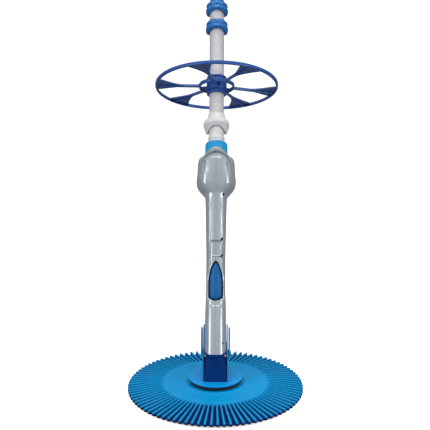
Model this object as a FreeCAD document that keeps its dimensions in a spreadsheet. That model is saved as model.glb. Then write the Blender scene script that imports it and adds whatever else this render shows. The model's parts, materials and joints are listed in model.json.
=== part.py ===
import FreeCAD, Part
import os
import re

import Sketcher

# A suction pool cleaner that stands on its finned disc. Millimetres, +Z up, -Y to the front. The origin is the
# middle of the suction mouth, on the floor. The foot stands upright; the body, pipe and hose lean back about
# an axis that starts above the foot, and their pieces are drawn upright along that axis and then tilted.

doc = FreeCAD.newDocument("PoolCleaner")
sheet = doc.addObject("Spreadsheet::Sheet", "Sizes")

SIZES = [
    # the leaning axis
    ("lean_angle", 30),
    ("axis_height", 86),
    # the foot
    ("sole_radius", 70),
    ("sole_height", 12),
    ("sole_bevel", 4),
    ("mouth_radius", 20),
    ("spigot_radius", 40),
    ("flange_radius", 63.5),
    ("flange_top", 35),
    ("flange_thickness", 6),
    ("flange_low_bevel", 1.5),
    ("flange_high_bevel", 1),
    ("throat_width", 38),
    ("throat_depth", 54),
    ("column_width", 53.4),
    ("column_depth", 83),
    ("column_corner", 5),
    ("column_top_corner", 19),
    ("column_wall", 3),
    ("foot_top", 105),
    ("cheek_thickness", 2),
    ("cheek_height", 143),
    ("cheek_margin", 4),
    ("cheek_sweep", 14),
    ("cheek_bow", 20),
    ("cheek_tip", 13),
    ("cheek_top_inset", 16),
    ("cheek_rise_inset", 36),
    ("cheek_front_drop", 6),
    ("cheek_bevel", 8),
    ("outer_cheek_thickness", 4.4),
    ("outer_cheek_height", 136),
    ("outer_cheek_foot", 80),
    ("outer_cheek_sweep", 6),
    ("outer_cheek_bow", 17),
    ("outer_cheek_tip", 10),
    ("outer_cheek_top_inset", 14),
    ("cheek_web_height", 4),
    ("cheek_web_shift", 2),
    ("cheek_gap", 1.2),
    ("ballast_width", 42),
    ("ballast_depth", 13),
    ("ballast_drop", 8),
    ("ballast_gap", 1),
    # the finned disc
    ("disc_radius", 205),
    ("pleat_overhang", 7),
    ("web_radius", "=disc_radius - pleat_overhang"),
    ("flat_radius", 120),
    ("flat_top", 21.5),
    ("disc_thickness", 4),
    ("boss_radius", 52),
    ("lip_radius", 68),
    ("lip_height", 1.2),
    ("valley_depth", 7),
    ("edge_lift", 4),
    ("edge_top", 13),
    ("web_edge", 2.5),
    ("slope_run", 10),
    ("web_toe", 7),
    ("web_toe_width", 3),
    ("pleat_count", 90),
    ("pleat_width", 3.6),
    ("pleat_root", 3),
    ("pleat_root_depth", 1),
    ("pleat_crest_run", 5),
    ("pleat_crest", 0.6),
    ("pleat_edge_gap", 1.5),
    ("pleat_floor_gap", 0.6),
    ("pleat_under_run", 8),
    # the body
    ("body_length", 500),
    ("body_wall", 2.5),
    ("heel_drop", 24),
    ("heel_top", 60),
    ("panel_drop", 190),
    ("neck_drop", 130),
    ("shoulder_drop", 114),
    ("flare_drop", 100),
    ("bulge_drop", 82),
    ("head_drop", 42),
    ("crown_drop", 25),
    ("collar_drop", 13),
    ("lid_thickness", 6),
    ("heel_width", "=column_width - 2.2"),
    ("heel_front", 46),
    ("heel_back", 44),
    ("waist_width", 46),
    ("waist_front", 37),
    ("waist_back", 33),
    ("neck_width", 52),
    ("bulge_width", 96),
    ("bulge_front", 46),
    ("head_width", 91.5),
    ("head_front", 49),
    ("slot_start", 122),
    ("slot_length", 95),
    ("slot_width", 34),
    ("slot_corner", 5),
    ("insert_gap", 2.4),
    ("insert_reach", 36),
    ("float_depth", 36),
    ("float_height", 62),
    ("float_drop", 96),
    # the flow path inside the body
    ("chamber_width", 37),
    ("chamber_depth", 50),
    ("chamber_end", 100),
    ("chamber_wall", 2.5),
    ("pivot_station", 38),
    ("pin_radius", 3),
    ("flapper_tip", 90),
    ("flapper_half", 7),
    ("flapper_swing", 15),
    ("seat_thickness", 2.5),
    ("seat_height", 18),
    ("seat_drop", 22),
    ("front_tube_radius", 11.5),
    ("front_tube_offset", 13),
    ("rear_tube_radius", 9.5),
    ("rear_tube_offset", 11),
    ("tube_wall", 2),
    ("tube_end_drop", 100),
    ("manifold_radius", 27.5),
    ("manifold_length", 70),
    # the swivel, the nut and the pipe
    ("pipe_radius", 19.5),
    ("pipe_wall", 3),
    ("pipe_length", 103),
    ("pipe_lip_station", 55),
    ("pipe_lip", 1.1),
    ("socket_wall", 5),
    ("socket_radius", "=pipe_radius + socket_wall"),
    ("socket_length", 36),
    ("pipe_collar", 3.5),
    ("pipe_collar_height", 3.5),
    ("nut_wall", 2.9),
    ("nut_radius", "=socket_radius + nut_wall"),
    ("collar_wall", 3.6),
    ("collar_width", "=2 * (nut_radius + collar_wall)"),
    ("nut_height", 29),
    ("nut_skirt", 21),
    ("nut_sink", 10),
    ("hoop_radius", "=nut_radius + 2.6"),
    ("hoop_drop", 18),
    ("seal_height", 4),
    ("seal_depth", 2),
    ("seal_station", 8),
    # the hose and what is on it
    ("hose_radius", 18.3),
    ("hose_wall", 2.8),
    ("hose_bore_radius", "=hose_radius - hose_wall"),
    ("hose_length", 255),
    ("cuff_length", 53),
    ("cuff_flare", 14),
    ("cuff_radius", "=hose_radius + cuff_flare"),
    ("cuff_mouth_wall", 5.9),
    ("cuff_grip", 18),
    ("blue_cuff_wall", 10),
    ("blue_cuff_radius", "=hose_radius + blue_cuff_wall"),
    ("blue_cuff_length", 34),
    ("blue_cuff_sink", 21),
    ("link_length", 50),
    ("tail_radius", "=hose_radius - 0.9"),
    ("tail_bore_radius", "=hose_bore_radius - 1"),
    ("tail_length", 16),
    ("hub_wall", 3.7),
    ("hub_radius", "=hose_radius + hub_wall"),
    ("hub_length", 46),
    ("hub_station", 93),
    ("hub_flange", "=hub_radius + 2.4"),
    # the deflector wheel
    ("wheel_radius", 153),
    ("rim_width", 6),
    ("rim_height", 8.4),
    ("wheel_bearing_wall", 3),
    ("wheel_bearing_radius", "=hub_radius + wheel_bearing_wall"),
    ("wheel_bearing_height", 24),
    ("inner_ring_radius", 44.5),
    ("inner_ring_width", 4.5),
    ("inner_ring_height", 10),
    ("spoke_width", 7),
    ("spoke_flare", 26),
    ("spoke_flare_start", 96),
    ("spoke_thickness", 3),
    ("spoke_rib", 1.3),
    ("spoke_half_angle", 22.5),
    ("first_pair_angle", -80.5),
    # clearances and fasteners
    ("running_clearance", 0.06),
    ("loose_clearance", 0.4),
    ("screw_radius", 2),
    ("screw_head_radius", 3.6),
    ("screw_head_height", 2.4),
    ("screw_boss_wall", 1.5),
    ("screw_edge", 5.5),
    ("heel_screw_station", 21),
    ("screw_half_reach", 9),
    ("screw_gap", 0.1),
    ("foot_screw_radius", 2.3),
    ("foot_screw_length", 7.5),
    ("foot_screw_seat", 11),
    ("foot_screw_edge", 3.6),
    ("foot_screw_drop", 6),
]

for row, (alias, size) in enumerate(SIZES, start=1):
    sheet.set(f"A{row}", str(size))
    sheet.setAlias(f"A{row}", alias)
doc.recompute()

SIDEWAYS = FreeCAD.Rotation(FreeCAD.Vector(0, 1, 0), 90)
FORWARD = FreeCAD.Rotation(FreeCAD.Vector(1, 0, 0), 90)
UPRIGHT = FreeCAD.Placement()
LEANING = FreeCAD.Placement(
    FreeCAD.Vector(0, 0, float(sheet.axis_height)),
    FreeCAD.Rotation(FreeCAD.Vector(1, 0, 0), -float(sheet.lean_angle)),
)
FAR = 1000.0
CORNER_SHARE = 0.82

sub_parts = []


# --- reading the sheet and drawing ---------------------------------------------------------------------------


def bound(text):
    """The expression with every size name read from the sheet."""
    return re.sub(r"[a-z][a-z_]*", r"Sizes.\g<0>", str(text))


def value(text):
    """The number that an expression of size names gives."""
    return float(sheet.evalExpression(bound(text)))


def vector(x, y, z):
    return FreeCAD.Vector(value(x), value(y), value(z))


def keep(item, label, placement=UPRIGHT):
    """Names a finished sub-part, puts it in its place and lists it."""
    item.Label = label
    item.Placement = placement
    sub_parts.append(item)
    return item


def keep_in_place(item, label):
    """Keeps a primitive that was placed along the axis, and leans it with the rest."""
    return keep(item, label, LEANING.multiply(item.Placement))


def plane_of(body, role):
    return [feature for feature in body.Origin.OriginFeatures if feature.Role == role][0]


def outline(body, name, role, points):
    """A closed sketch of straight lines whose corners are held by expressions."""
    sketch = body.newObject("Sketcher::SketchObject", name)
    sketch.AttachmentSupport = (plane_of(body, role), [""])
    sketch.MapMode = "FlatFace"
    corners = [FreeCAD.Vector(value(across), value(up), 0) for across, up in points]
    for start, end in zip(corners, corners[1:] + corners[:1]):
        sketch.addGeometry(Part.LineSegment(start, end), False)
    for line in range(len(corners)):
        sketch.addConstraint(Sketcher.Constraint("Coincident", line, 2, (line + 1) % len(corners), 1))
    for line, (across, up) in enumerate(points):
        for kind, expression, number in (
            ("DistanceX", across, corners[line].x),
            ("DistanceY", up, corners[line].y),
        ):
            held = sketch.addConstraint(Sketcher.Constraint(kind, line, 1, number))
            sketch.setExpression(f"Constraints[{held}]", bound(expression))
    return sketch


def new_body(name):
    return doc.addObject("PartDesign::Body", name)


def turned(body, name, points):
    """Turns an outline of (radius, height) corners about the body's Z axis."""
    sketch = outline(body, name + "_outline", "XZ_Plane", points)
    turn = body.newObject("PartDesign::Revolution", name)
    turn.Profile = sketch
    turn.ReferenceAxis = (sketch, ["V_Axis"])
    turn.Angle = 360
    return turn


def padded(body, name, role, points, thickness):
    """Pads an outline to both sides of its plane."""
    sketch = outline(body, name + "_outline", role, points)
    pad = body.newObject("PartDesign::Pad", name)
    pad.Profile = sketch
    pad.Midplane = True
    pad.setExpression("Length", bound(thickness))
    return pad


def patterned(body, name, feature, count):
    """Repeats a feature evenly about the body's Z axis."""
    doc.recompute()
    pattern = body.newObject("PartDesign::PolarPattern", name)
    pattern.Originals = [feature]
    pattern.Axis = (feature.Profile[0], ["V_Axis"])
    pattern.Angle = 360
    pattern.setExpression("Occurrences", bound(count))
    body.Tip = pattern
    return pattern


def cylinder(name, radius, height, base, rotation=None):
    """A cylinder that stands on base, bound to the sheet."""
    item = doc.addObject("Part::Cylinder", name)
    item.setExpression("Radius", bound(radius))
    item.setExpression("Height", bound(height))
    item.Placement = FreeCAD.Placement(vector(*base), rotation or FreeCAD.Rotation())
    return item


def block(name, width, depth, height, middle, base):
    """A box centred on x = 0, with its middle at y = middle and its bottom at z = base."""
    item = doc.addObject("Part::Box", name)
    item.setExpression("Length", bound(width))
    item.setExpression("Width", bound(depth))
    item.setExpression("Height", bound(height))
    item.Placement.Base = vector(f"-({width}) / 2", f"{middle} - ({depth}) / 2", base)
    return item


def joined(name, items):
    item = doc.addObject("Part::MultiFuse", name)
    item.Shapes = items
    return item


def cut(name, base, tools):
    """Base with every tool taken away."""
    result = base
    for number, tool in enumerate(tools):
        step = doc.addObject("Part::Cut", f"{name}_{number}")
        step.Base = result
        step.Tool = tool
        result = step
    return result


def featured(name, shape):
    item = doc.addObject("Part::Feature", name)
    item.Shape = shape
    return item


def rounded_wire(half_width, front, back, corner, height):
    """A level rounded rectangle, front towards -Y, whose four corners are arcs."""
    arc_shift = corner * (1 - 2 ** -0.5)
    bends = []
    for x_side, y_side, reach in ((-1, -1, front), (1, -1, front), (1, 1, back), (-1, 1, back)):
        tip = FreeCAD.Vector(x_side * half_width, y_side * reach, height)
        on_end = tip - FreeCAD.Vector(x_side * corner, 0, 0)
        on_side = tip - FreeCAD.Vector(0, y_side * corner, 0)
        middle = tip - FreeCAD.Vector(x_side * arc_shift, y_side * arc_shift, 0)
        bends.append((on_side, middle, on_end) if x_side == y_side else (on_end, middle, on_side))
    edges = []
    for (start, middle, end), (following, _, _) in zip(bends, bends[1:] + bends[:1]):
        edges.append(Part.Arc(start, middle, end).toShape())
        edges.append(Part.LineSegment(end, following).toShape())
    return Part.Wire(edges)


# --- the foot ------------------------------------------------------------------------------------------------


def make_foot_sole():
    body = new_body("sole_body")
    turned(
        body,
        "sole_turn",
        [
            ("mouth_radius", "0"),
            ("sole_radius - sole_bevel", "0"),
            ("sole_radius", "sole_bevel"),
            ("sole_radius", "sole_height"),
            ("mouth_radius", "sole_height"),
        ],
    )
    keep(body, "foot_sole")


def make_foot_frame():
    """The round flange with the spigot that the disc turns on."""
    body = new_body("frame_body")
    turned(
        body,
        "frame_turn",
        [
            ("0", "sole_height"),
            ("spigot_radius", "sole_height"),
            ("spigot_radius", "flange_top - flange_thickness"),
            ("flange_radius - flange_low_bevel", "flange_top - flange_thickness"),
            ("flange_radius", "flange_top - flange_thickness + flange_low_bevel"),
            ("flange_radius", "flange_top - flange_high_bevel"),
            ("flange_radius - flange_high_bevel", "flange_top"),
            ("0", "flange_top"),
        ],
    )
    throat = block("frame_throat", "throat_width", "throat_depth", "flange_top", "0", "sole_height / 2")
    keep(cut("frame_cut", body, [throat]), "foot_frame")


def column_shape(inset, overrun):
    """The upright column: nearly square below, and rounded like the body's slanted end above."""
    corner = value("column_corner") - min(inset, 2.0)
    top_corner = value("column_top_corner") - inset
    half = value("column_width") / 2 - inset
    low = value("column_depth") / 2 - inset
    plane_front, plane_back = body_end_reach()
    front = plane_front + value("body_wall") / 2 - inset
    back = plane_back + value("body_wall") / 2 - inset
    wires = [
        rounded_wire(half, low, low, corner, value("flange_top") - overrun),
        rounded_wire(half, front, back, top_corner, value("foot_top") + overrun),
    ]
    return Part.makeLoft(wires, True, True)


def foot_pins(name, radius, length):
    """A rod in each of the column's rounded front corners, from its seat towards the front."""
    seat = body_end_reach()[0] + value("body_wall / 2 - foot_screw_seat")
    pins = []
    for side, end in ((-1, "left"), (1, "right")):
        across = side * value("column_width / 2 - foot_screw_edge")
        pin = cylinder(f"{name}_{end}", radius, length, ("0", "0", "foot_top - foot_screw_drop"), FORWARD)
        pin.Placement.Base.x = across
        pin.Placement.Base.y = -seat
        pins.append(pin)
    return pins


def make_foot_column():
    """The hollow column, with a pocket in each front corner for a screw."""
    column = column_shape(0.0, 0.0)
    hollow = column_shape(value("column_wall"), 1.0)
    walls = featured("column_feature", column.cut(hollow))
    pockets = foot_pins("column_pocket", "foot_screw_radius + screw_gap", "column_depth")
    keep(cut("column_cut", walls, pockets), "foot_column")


def make_cheeks():
    """On each side of the column, an inner plate and a shorter outer plate joined by a low web."""
    for side, name in ((-1, "left"), (1, "right")):
        body = new_body(f"{name}_cheek_body")
        inner = padded(
            body,
            f"{name}_cheek_inner",
            "YZ_Plane",
            [
                ("-column_depth / 2 + cheek_margin", "flange_top"),
                ("column_depth / 2 - cheek_margin", "flange_top"),
                ("column_depth / 2 + cheek_sweep", "foot_top"),
                ("column_depth / 2 + cheek_bow", "cheek_height - cheek_bevel"),
                ("column_depth / 2 + cheek_tip", "cheek_height"),
                ("column_depth / 2 - cheek_top_inset", "cheek_height"),
                ("column_depth / 2 - cheek_rise_inset", "foot_top"),
                ("-column_depth / 2 + cheek_margin", "foot_top - cheek_front_drop"),
            ],
            "cheek_thickness",
        )
        outer_body = new_body(f"{name}_outer_cheek_body")
        padded(
            outer_body,
            f"{name}_cheek_outer",
            "YZ_Plane",
            [
                ("-column_depth / 2 + cheek_rise_inset", "outer_cheek_foot"),
                ("column_depth / 2 + outer_cheek_sweep", "outer_cheek_foot"),
                ("column_depth / 2 + outer_cheek_bow", "outer_cheek_height - cheek_bevel"),
                ("column_depth / 2 + outer_cheek_tip", "outer_cheek_height"),
                ("column_depth / 2 - outer_cheek_top_inset", "outer_cheek_height"),
            ],
            "outer_cheek_thickness",
        )
        web = block(
            f"{name}_cheek_web",
            "cheek_gap + cheek_thickness",
            "column_depth / 2",
            "cheek_web_height",
            "column_depth / 4 - cheek_web_shift",
            "outer_cheek_foot",
        )
        inner_at = value("column_width / 2 + loose_clearance / 2 + cheek_thickness / 2")
        outer_at = inner_at + value("cheek_gap + (cheek_thickness + outer_cheek_thickness) / 2")
        body.Placement.Base.x = side * inner_at
        outer_body.Placement.Base.x = side * outer_at
        gap_middle = inner_at + value("(cheek_thickness + cheek_gap) / 2")
        web.Placement.Base.x = side * gap_middle - value("cheek_gap + cheek_thickness") / 2
        keep(joined(f"{name}_cheek_join", [body, outer_body, web]), f"{name}_cheek")


def make_foot_screws():
    """Two small pins in the front corners of the column, near its top."""
    pins = foot_pins("foot_screw", "foot_screw_radius", "foot_screw_length")
    keep(joined("foot_screw_join", pins), "foot_screws")


def make_ballast():
    """A weight in the back of the column, clear of its walls."""
    weight = block(
        "ballast_block",
        "ballast_width",
        "ballast_depth",
        "foot_top - flange_top - ballast_drop",
        "column_depth / 2 - column_wall - ballast_gap - ballast_depth / 2",
        "flange_top",
    )
    keep(weight, "ballast_weight", weight.Placement)


# --- the finned disc -----------------------------------------------------------------------------------------


def make_finned_disc():
    """A flat ring that turns on the spigot, with a sloping skirt of radial pleats."""
    body = new_body("disc_body")
    turned(
        body,
        "disc_turn",
        [
            ("spigot_radius + running_clearance", "sole_height + loose_clearance"),
            ("boss_radius", "sole_height + loose_clearance"),
            ("boss_radius", "flat_top - disc_thickness"),
            ("flat_radius", "flat_top - disc_thickness"),
            ("flat_radius + slope_run", "flat_top - disc_thickness - valley_depth + loose_clearance"),
            ("web_radius - web_toe - web_toe_width", "0"),
            ("web_radius - web_toe", "0"),
            ("web_radius", "edge_lift"),
            ("web_radius", "edge_lift + web_edge"),
            ("flat_radius + slope_run", "flat_top - valley_depth"),
            ("flat_radius", "flat_top"),
            ("lip_radius + 1", "flat_top"),
            ("lip_radius", "flat_top + lip_height"),
            ("lip_radius - 1", "flat_top"),
            ("boss_radius", "flat_top"),
            ("boss_radius", "flange_top - flange_thickness - loose_clearance"),
            ("spigot_radius + running_clearance", "flange_top - flange_thickness - loose_clearance"),
        ],
    )
    pleat = padded(
        body,
        "disc_pleat",
        "XZ_Plane",
        [
            ("flat_radius - pleat_root", "flat_top - pleat_root_depth"),
            ("flat_radius + pleat_crest_run", "flat_top + pleat_crest"),
            ("disc_radius", "edge_top"),
            ("disc_radius", "edge_lift + pleat_edge_gap"),
            ("web_radius - web_toe", "pleat_floor_gap"),
            ("flat_radius + pleat_under_run", "flat_top - valley_depth - pleat_edge_gap"),
        ],
        "pleat_width",
    )
    patterned(body, "disc_pleats", pleat, "pleat_count")
    keep(body, "finned_disc")


# --- the body shells -----------------------------------------------------------------------------------------


def body_sections(inset):
    """Half width, front and back reach of the body at stations up the axis, less an inset."""
    top = value("body_length")
    waist = value("waist_width") / 2
    heel = value("heel_width") / 2
    neck = value("neck_width") / 2
    bulge = value("bulge_width") / 2
    head = value("head_width") / 2
    collar = value("collar_width") / 2
    front = value("waist_front")
    back = value("waist_back")
    slot_start = value("slot_start")
    stations = [
        (-value("heel_drop"), heel, value("heel_front"), value("heel_back")),
        (value("heel_top"), heel - 0.4, value("heel_front") - 2.5, value("heel_back") - 2.5),
        (slot_start + 6, waist + 0.2, front + 0.6, back + 1.0),
        (slot_start + 100, waist, front, back),
        (top - value("panel_drop"), waist + 1.6, front, back),
        (top - value("neck_drop"), neck, front + 0.4, back + 0.4),
        (top - value("shoulder_drop"), neck + 2.4, front + 1.4, back + 1.5),
        (top - value("flare_drop"), bulge * 0.87, front + 4.6, back + 4.5),
        (top - value("bulge_drop"), bulge, value("bulge_front"), value("bulge_front") - 2),
        (top - value("head_drop"), head, value("head_front"), value("head_front") - 2),
        (top - value("crown_drop"), head - 3.5, value("head_front") - 3, value("head_front") - 4),
        (top - value("collar_drop"), collar + 5.5, collar + 6, collar + 5.5),
        (top, collar, collar, collar),
    ]
    return [(at, half - inset, fore - inset, aft - inset) for at, half, fore, aft in stations]


def body_solid(inset):
    """The body's outside, or with an inset its inside, before the slot and the ends are cut."""
    wires = []
    for at, half, front, back in body_sections(inset):
        wires.append(rounded_wire(half, front, back, min(half, front, back) * CORNER_SHARE, at))
    return Part.makeLoft(wires, True, True)


def body_end_reach():
    """How far the body's level lower end reaches in front of and behind the origin."""
    rise = value("foot_top") - value("axis_height")
    turn = LEANING.Rotation
    reach = []
    for side, depth in ((-1, value("heel_front") - 0.6), (1, value("heel_back") - 1.4)):
        across = turn.multVec(FreeCAD.Vector(0, side * depth, 0))
        along = turn.multVec(FreeCAD.Vector(0, 0, 1))
        station = (rise - across.z) / along.z
        reach.append(side * (across.y + station * along.y))
    return reach


def below_foot(gap):
    """Everything lower than the foot's top, in the leaning pieces' own frame."""
    box = Part.makeBox(2 * FAR, 2 * FAR, FAR)
    box.translate(FreeCAD.Vector(-FAR, -FAR, value("foot_top") + gap - FAR))
    box.Placement = LEANING.inverse().multiply(box.Placement)
    return box


def slot_outline(gap, reach_from, reach_to):
    """The slot's bullet outline, less a gap all round, pushed through from front to back."""
    start = value("slot_start") + gap
    end = value("slot_start + slot_length") - 2.2 * gap
    half = value("slot_width") / 2 - gap
    corner = value("slot_corner")
    arc_shift = corner * (1 - 2 ** -0.5)
    shoulder = start + 0.5 * (end - start)
    spots = [
        FreeCAD.Vector(-half + corner, reach_from, start),
        FreeCAD.Vector(half - corner, reach_from, start),
        FreeCAD.Vector(half, reach_from, start + corner),
        FreeCAD.Vector(half, reach_from, shoulder),
        FreeCAD.Vector(0, reach_from, end),
        FreeCAD.Vector(-half, reach_from, shoulder),
        FreeCAD.Vector(-half, reach_from, start + corner),
    ]
    flank = 0.72 * half
    flank_at = shoulder + 0.62 * (end - shoulder)
    right_mid = FreeCAD.Vector(flank, reach_from, flank_at)
    left_mid = FreeCAD.Vector(-flank, reach_from, flank_at)
    right_bend = FreeCAD.Vector(half - arc_shift, reach_from, start + arc_shift)
    left_bend = FreeCAD.Vector(-half + arc_shift, reach_from, start + arc_shift)
    edges = [
        Part.LineSegment(spots[0], spots[1]).toShape(),
        Part.Arc(spots[1], right_bend, spots[2]).toShape(),
        Part.LineSegment(spots[2], spots[3]).toShape(),
        Part.Arc(spots[3], right_mid, spots[4]).toShape(),
        Part.Arc(spots[4], left_mid, spots[5]).toShape(),
        Part.LineSegment(spots[5], spots[6]).toShape(),
        Part.Arc(spots[6], left_bend, spots[0]).toShape(),
    ]
    face = Part.Face(Part.Wire(edges))
    return face.extrude(FreeCAD.Vector(0, reach_to - reach_from, 0))


def screw_spots():
    """Where the body screws cross the seam: front reach and station."""
    top = value("body_length")
    slot_end = value("slot_start + slot_length")
    waist = value("waist_front - screw_edge")
    return [
        (value("heel_front - screw_edge"), value("heel_screw_station")),
        (waist, slot_end + 12),
        (waist, slot_end + 52),
        (waist, top - 121),
    ]


def screw_shapes(gap, head_height):
    """The screws lie across the seam with their heads to the right; the gap makes room all round."""
    half = value("screw_half_reach")
    across = FreeCAD.Vector(1, 0, 0)
    shapes = []
    for reach, at in screw_spots():
        tip = FreeCAD.Vector(-half - gap, -reach, at)
        head_base = FreeCAD.Vector(half - gap, -reach, at)
        shank = Part.makeCylinder(value("screw_radius") + gap, 2 * half, tip, across)
        head = Part.makeCylinder(value("screw_head_radius") + gap, head_height, head_base, across)
        shapes.append(shank.fuse(head))
    return shapes


def make_body_shells():
    """Two half shells that meet at x = 0, with the slot in front and a hoop over the nut on top."""
    wall = value("body_wall")
    outer = body_solid(0.0)
    inner = body_solid(wall)
    top = value("body_length")
    lid = Part.makeBox(2 * FAR, 2 * FAR, FAR)
    lid.translate(FreeCAD.Vector(-FAR, -FAR, top - value("lid_thickness")))
    hollow = inner.cut(lid)
    bosses = []
    boss_radius = value("screw_radius + screw_boss_wall")
    for reach, at in screw_spots():
        start = FreeCAD.Vector(-FAR / 2, -reach, at)
        bosses.append(Part.makeCylinder(boss_radius, FAR, start, FreeCAD.Vector(1, 0, 0)))
    boss = bosses[0].multiFuse(bosses[1:]).common(outer)
    shell = outer.cut(hollow).fuse(boss)
    socket_base = vector("0", "0", "body_length - 60")
    socket_hole = Part.makeCylinder(value("socket_radius + loose_clearance"), FAR, socket_base)
    nut_room = vector("0", "0", "body_length - nut_sink - 2")
    nut_hole = Part.makeCylinder(value("nut_radius + 0.6"), FAR, nut_room)
    hoop_base = FreeCAD.Vector(0, -FAR, value("body_length - hoop_radius"))
    hoop = Part.makeCylinder(value("hoop_radius"), 2 * FAR, hoop_base, FreeCAD.Vector(0, 1, 0))
    above = Part.makeBox(2 * FAR, 2 * FAR, FAR)
    above.translate(FreeCAD.Vector(-FAR, -FAR, value("body_length - hoop_drop")))
    slot = slot_outline(0.0, -FAR, -value("front_tube_offset"))
    screw_room = screw_shapes(value("screw_gap"), FAR)
    shell = shell.cut([below_foot(0.0), socket_hole, nut_hole, above.cut(hoop), slot, *screw_room])
    for side, name in ((-1, "left_body_shell"), (1, "right_body_shell")):
        half = Part.makeBox(FAR, 2 * FAR, 2 * FAR)
        half.translate(FreeCAD.Vector(0 if side > 0 else -FAR, -FAR, -FAR))
        piece = shell.common(half)
        keep(featured(name + "_feature", piece), name, LEANING)


def make_body_screws():
    shapes = screw_shapes(0.0, value("screw_head_height"))
    keep(featured("body_screw_feature", Part.makeCompound(shapes)), "body_screws", LEANING)


def make_slot_insert():
    """The bullet-shaped cover in the slot, curved round the front flow tube."""
    tube_at = -value("front_tube_offset")
    clear = value("front_tube_radius") + 1.0
    reach = value("insert_reach")
    bullet = slot_outline(value("insert_gap"), -reach - 20, tube_at)
    round_front = Part.makeCylinder(reach + tube_at, FAR, FreeCAD.Vector(0, tube_at, 0))
    tube_room = Part.makeCylinder(clear, FAR, FreeCAD.Vector(0, tube_at, 0))
    keep(featured("slot_insert_feature", bullet.common(round_front).cut(tube_room)), "slot_insert", LEANING)


def make_floats():
    """A foam float in each side of the head, shaped by the shell and clear of the manifold."""
    room = body_solid(value("body_wall") + 1.5)
    top = value("body_length")
    clear = value("manifold_radius") + 1.5
    for side, name in ((-1, "left_float"), (1, "right_float")):
        slab = Part.makeBox(FAR, value("float_depth"), value("float_height"))
        start = clear if side > 0 else -clear - FAR
        slab.translate(FreeCAD.Vector(start, -value("float_depth") / 2, top - value("float_drop")))
        keep(featured(name + "_feature", room.common(slab)), name, LEANING)


# --- the flow path inside the body ---------------------------------------------------------------------------


def make_flapper_chamber():
    """An open-bottomed box with the flapper's pin across it and two outlets in its roof."""
    chamber = block("chamber_block", "chamber_width", "chamber_depth", "chamber_end + 20", "0", "-20")
    room = block(
        "chamber_room",
        "chamber_width - 2 * chamber_wall",
        "chamber_depth - 2 * chamber_wall",
        "chamber_end + 40 - chamber_wall",
        "0",
        "-40",
    )
    front = cylinder(
        "chamber_front_outlet",
        "front_tube_radius - tube_wall",
        "chamber_end",
        ("0", "-front_tube_offset", "chamber_end / 2"),
    )
    rear = cylinder(
        "chamber_rear_outlet",
        "rear_tube_radius - tube_wall",
        "chamber_end",
        ("0", "rear_tube_offset", "chamber_end / 2"),
    )
    pin = cylinder(
        "chamber_pin_hole",
        "pin_radius + running_clearance",
        "2 * chamber_width",
        ("-chamber_width", "0", "pivot_station"),
        SIDEWAYS,
    )
    floor = featured("chamber_floor_plane", below_foot(0.8))
    keep(cut("chamber_cut", chamber, [room, front, rear, pin, floor]), "flapper_chamber", LEANING)


def make_flapper():
    """The hammer: a wedge that rocks on its pin, drawn where it rests, leaning on the rear seat."""
    body = new_body("flapper_body")
    padded(
        body,
        "flapper_wedge",
        "YZ_Plane",
        [
            ("-pin_radius - 2.6", "pivot_station - 3"),
            ("0", "pivot_station - pin_radius - 3"),
            ("pin_radius + 2.6", "pivot_station - 3"),
            ("flapper_half", "flapper_tip - 6"),
            ("flapper_half - 3", "flapper_tip"),
            ("-flapper_half + 3", "flapper_tip"),
            ("-flapper_half", "flapper_tip - 6"),
        ],
        "chamber_width - 2 * chamber_wall - 2",
    )
    hole = cylinder(
        "flapper_hole",
        "pin_radius + running_clearance",
        "2 * chamber_width",
        ("-chamber_width", "0", "pivot_station"),
        SIDEWAYS,
    )
    pivot = FreeCAD.Vector(0, 0, value("pivot_station"))
    at_rear_seat = FreeCAD.Placement(
        FreeCAD.Vector(0, 0, 0),
        FreeCAD.Rotation(FreeCAD.Vector(1, 0, 0), -value("flapper_swing")),
        pivot,
    )
    keep(cut("flapper_cut", body, [hole]), "flapper", LEANING.multiply(at_rear_seat))


def make_flapper_pin():
    base = ("-chamber_width / 2", "0", "pivot_station")
    keep_in_place(cylinder("pin_cylinder", "pin_radius", "chamber_width", base, SIDEWAYS), "flapper_pin")


def make_flapper_seats():
    """Rubber stops on the chamber's front and back walls."""
    middle = "(chamber_depth / 2 - chamber_wall - seat_thickness / 2)"
    width = "chamber_width - 4 * chamber_wall"
    low = "flapper_tip - seat_drop"
    for sign, name in (("-", "front_seat"), ("", "rear_seat")):
        pad = block(name + "_pad", width, "seat_thickness", "seat_height", sign + middle, low)
        keep_in_place(pad, name)


def make_flow_tubes():
    """Two tubes that run from the chamber's roof to the manifold."""
    length = "body_length - tube_end_drop - chamber_end"
    for name, radius, offset in (
        ("front_flow_tube", "front_tube_radius", "-front_tube_offset"),
        ("rear_flow_tube", "rear_tube_radius", "rear_tube_offset"),
    ):
        tube = cylinder(name + "_outside", radius, length, ("0", offset, "chamber_end"))
        bore_base = ("0", offset, "chamber_end - 1")
        bore = cylinder(name + "_bore", f"{radius} - tube_wall", f"{length} + 2", bore_base)
        keep(cut(name + "_cut", tube, [bore]), name, LEANING)


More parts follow.
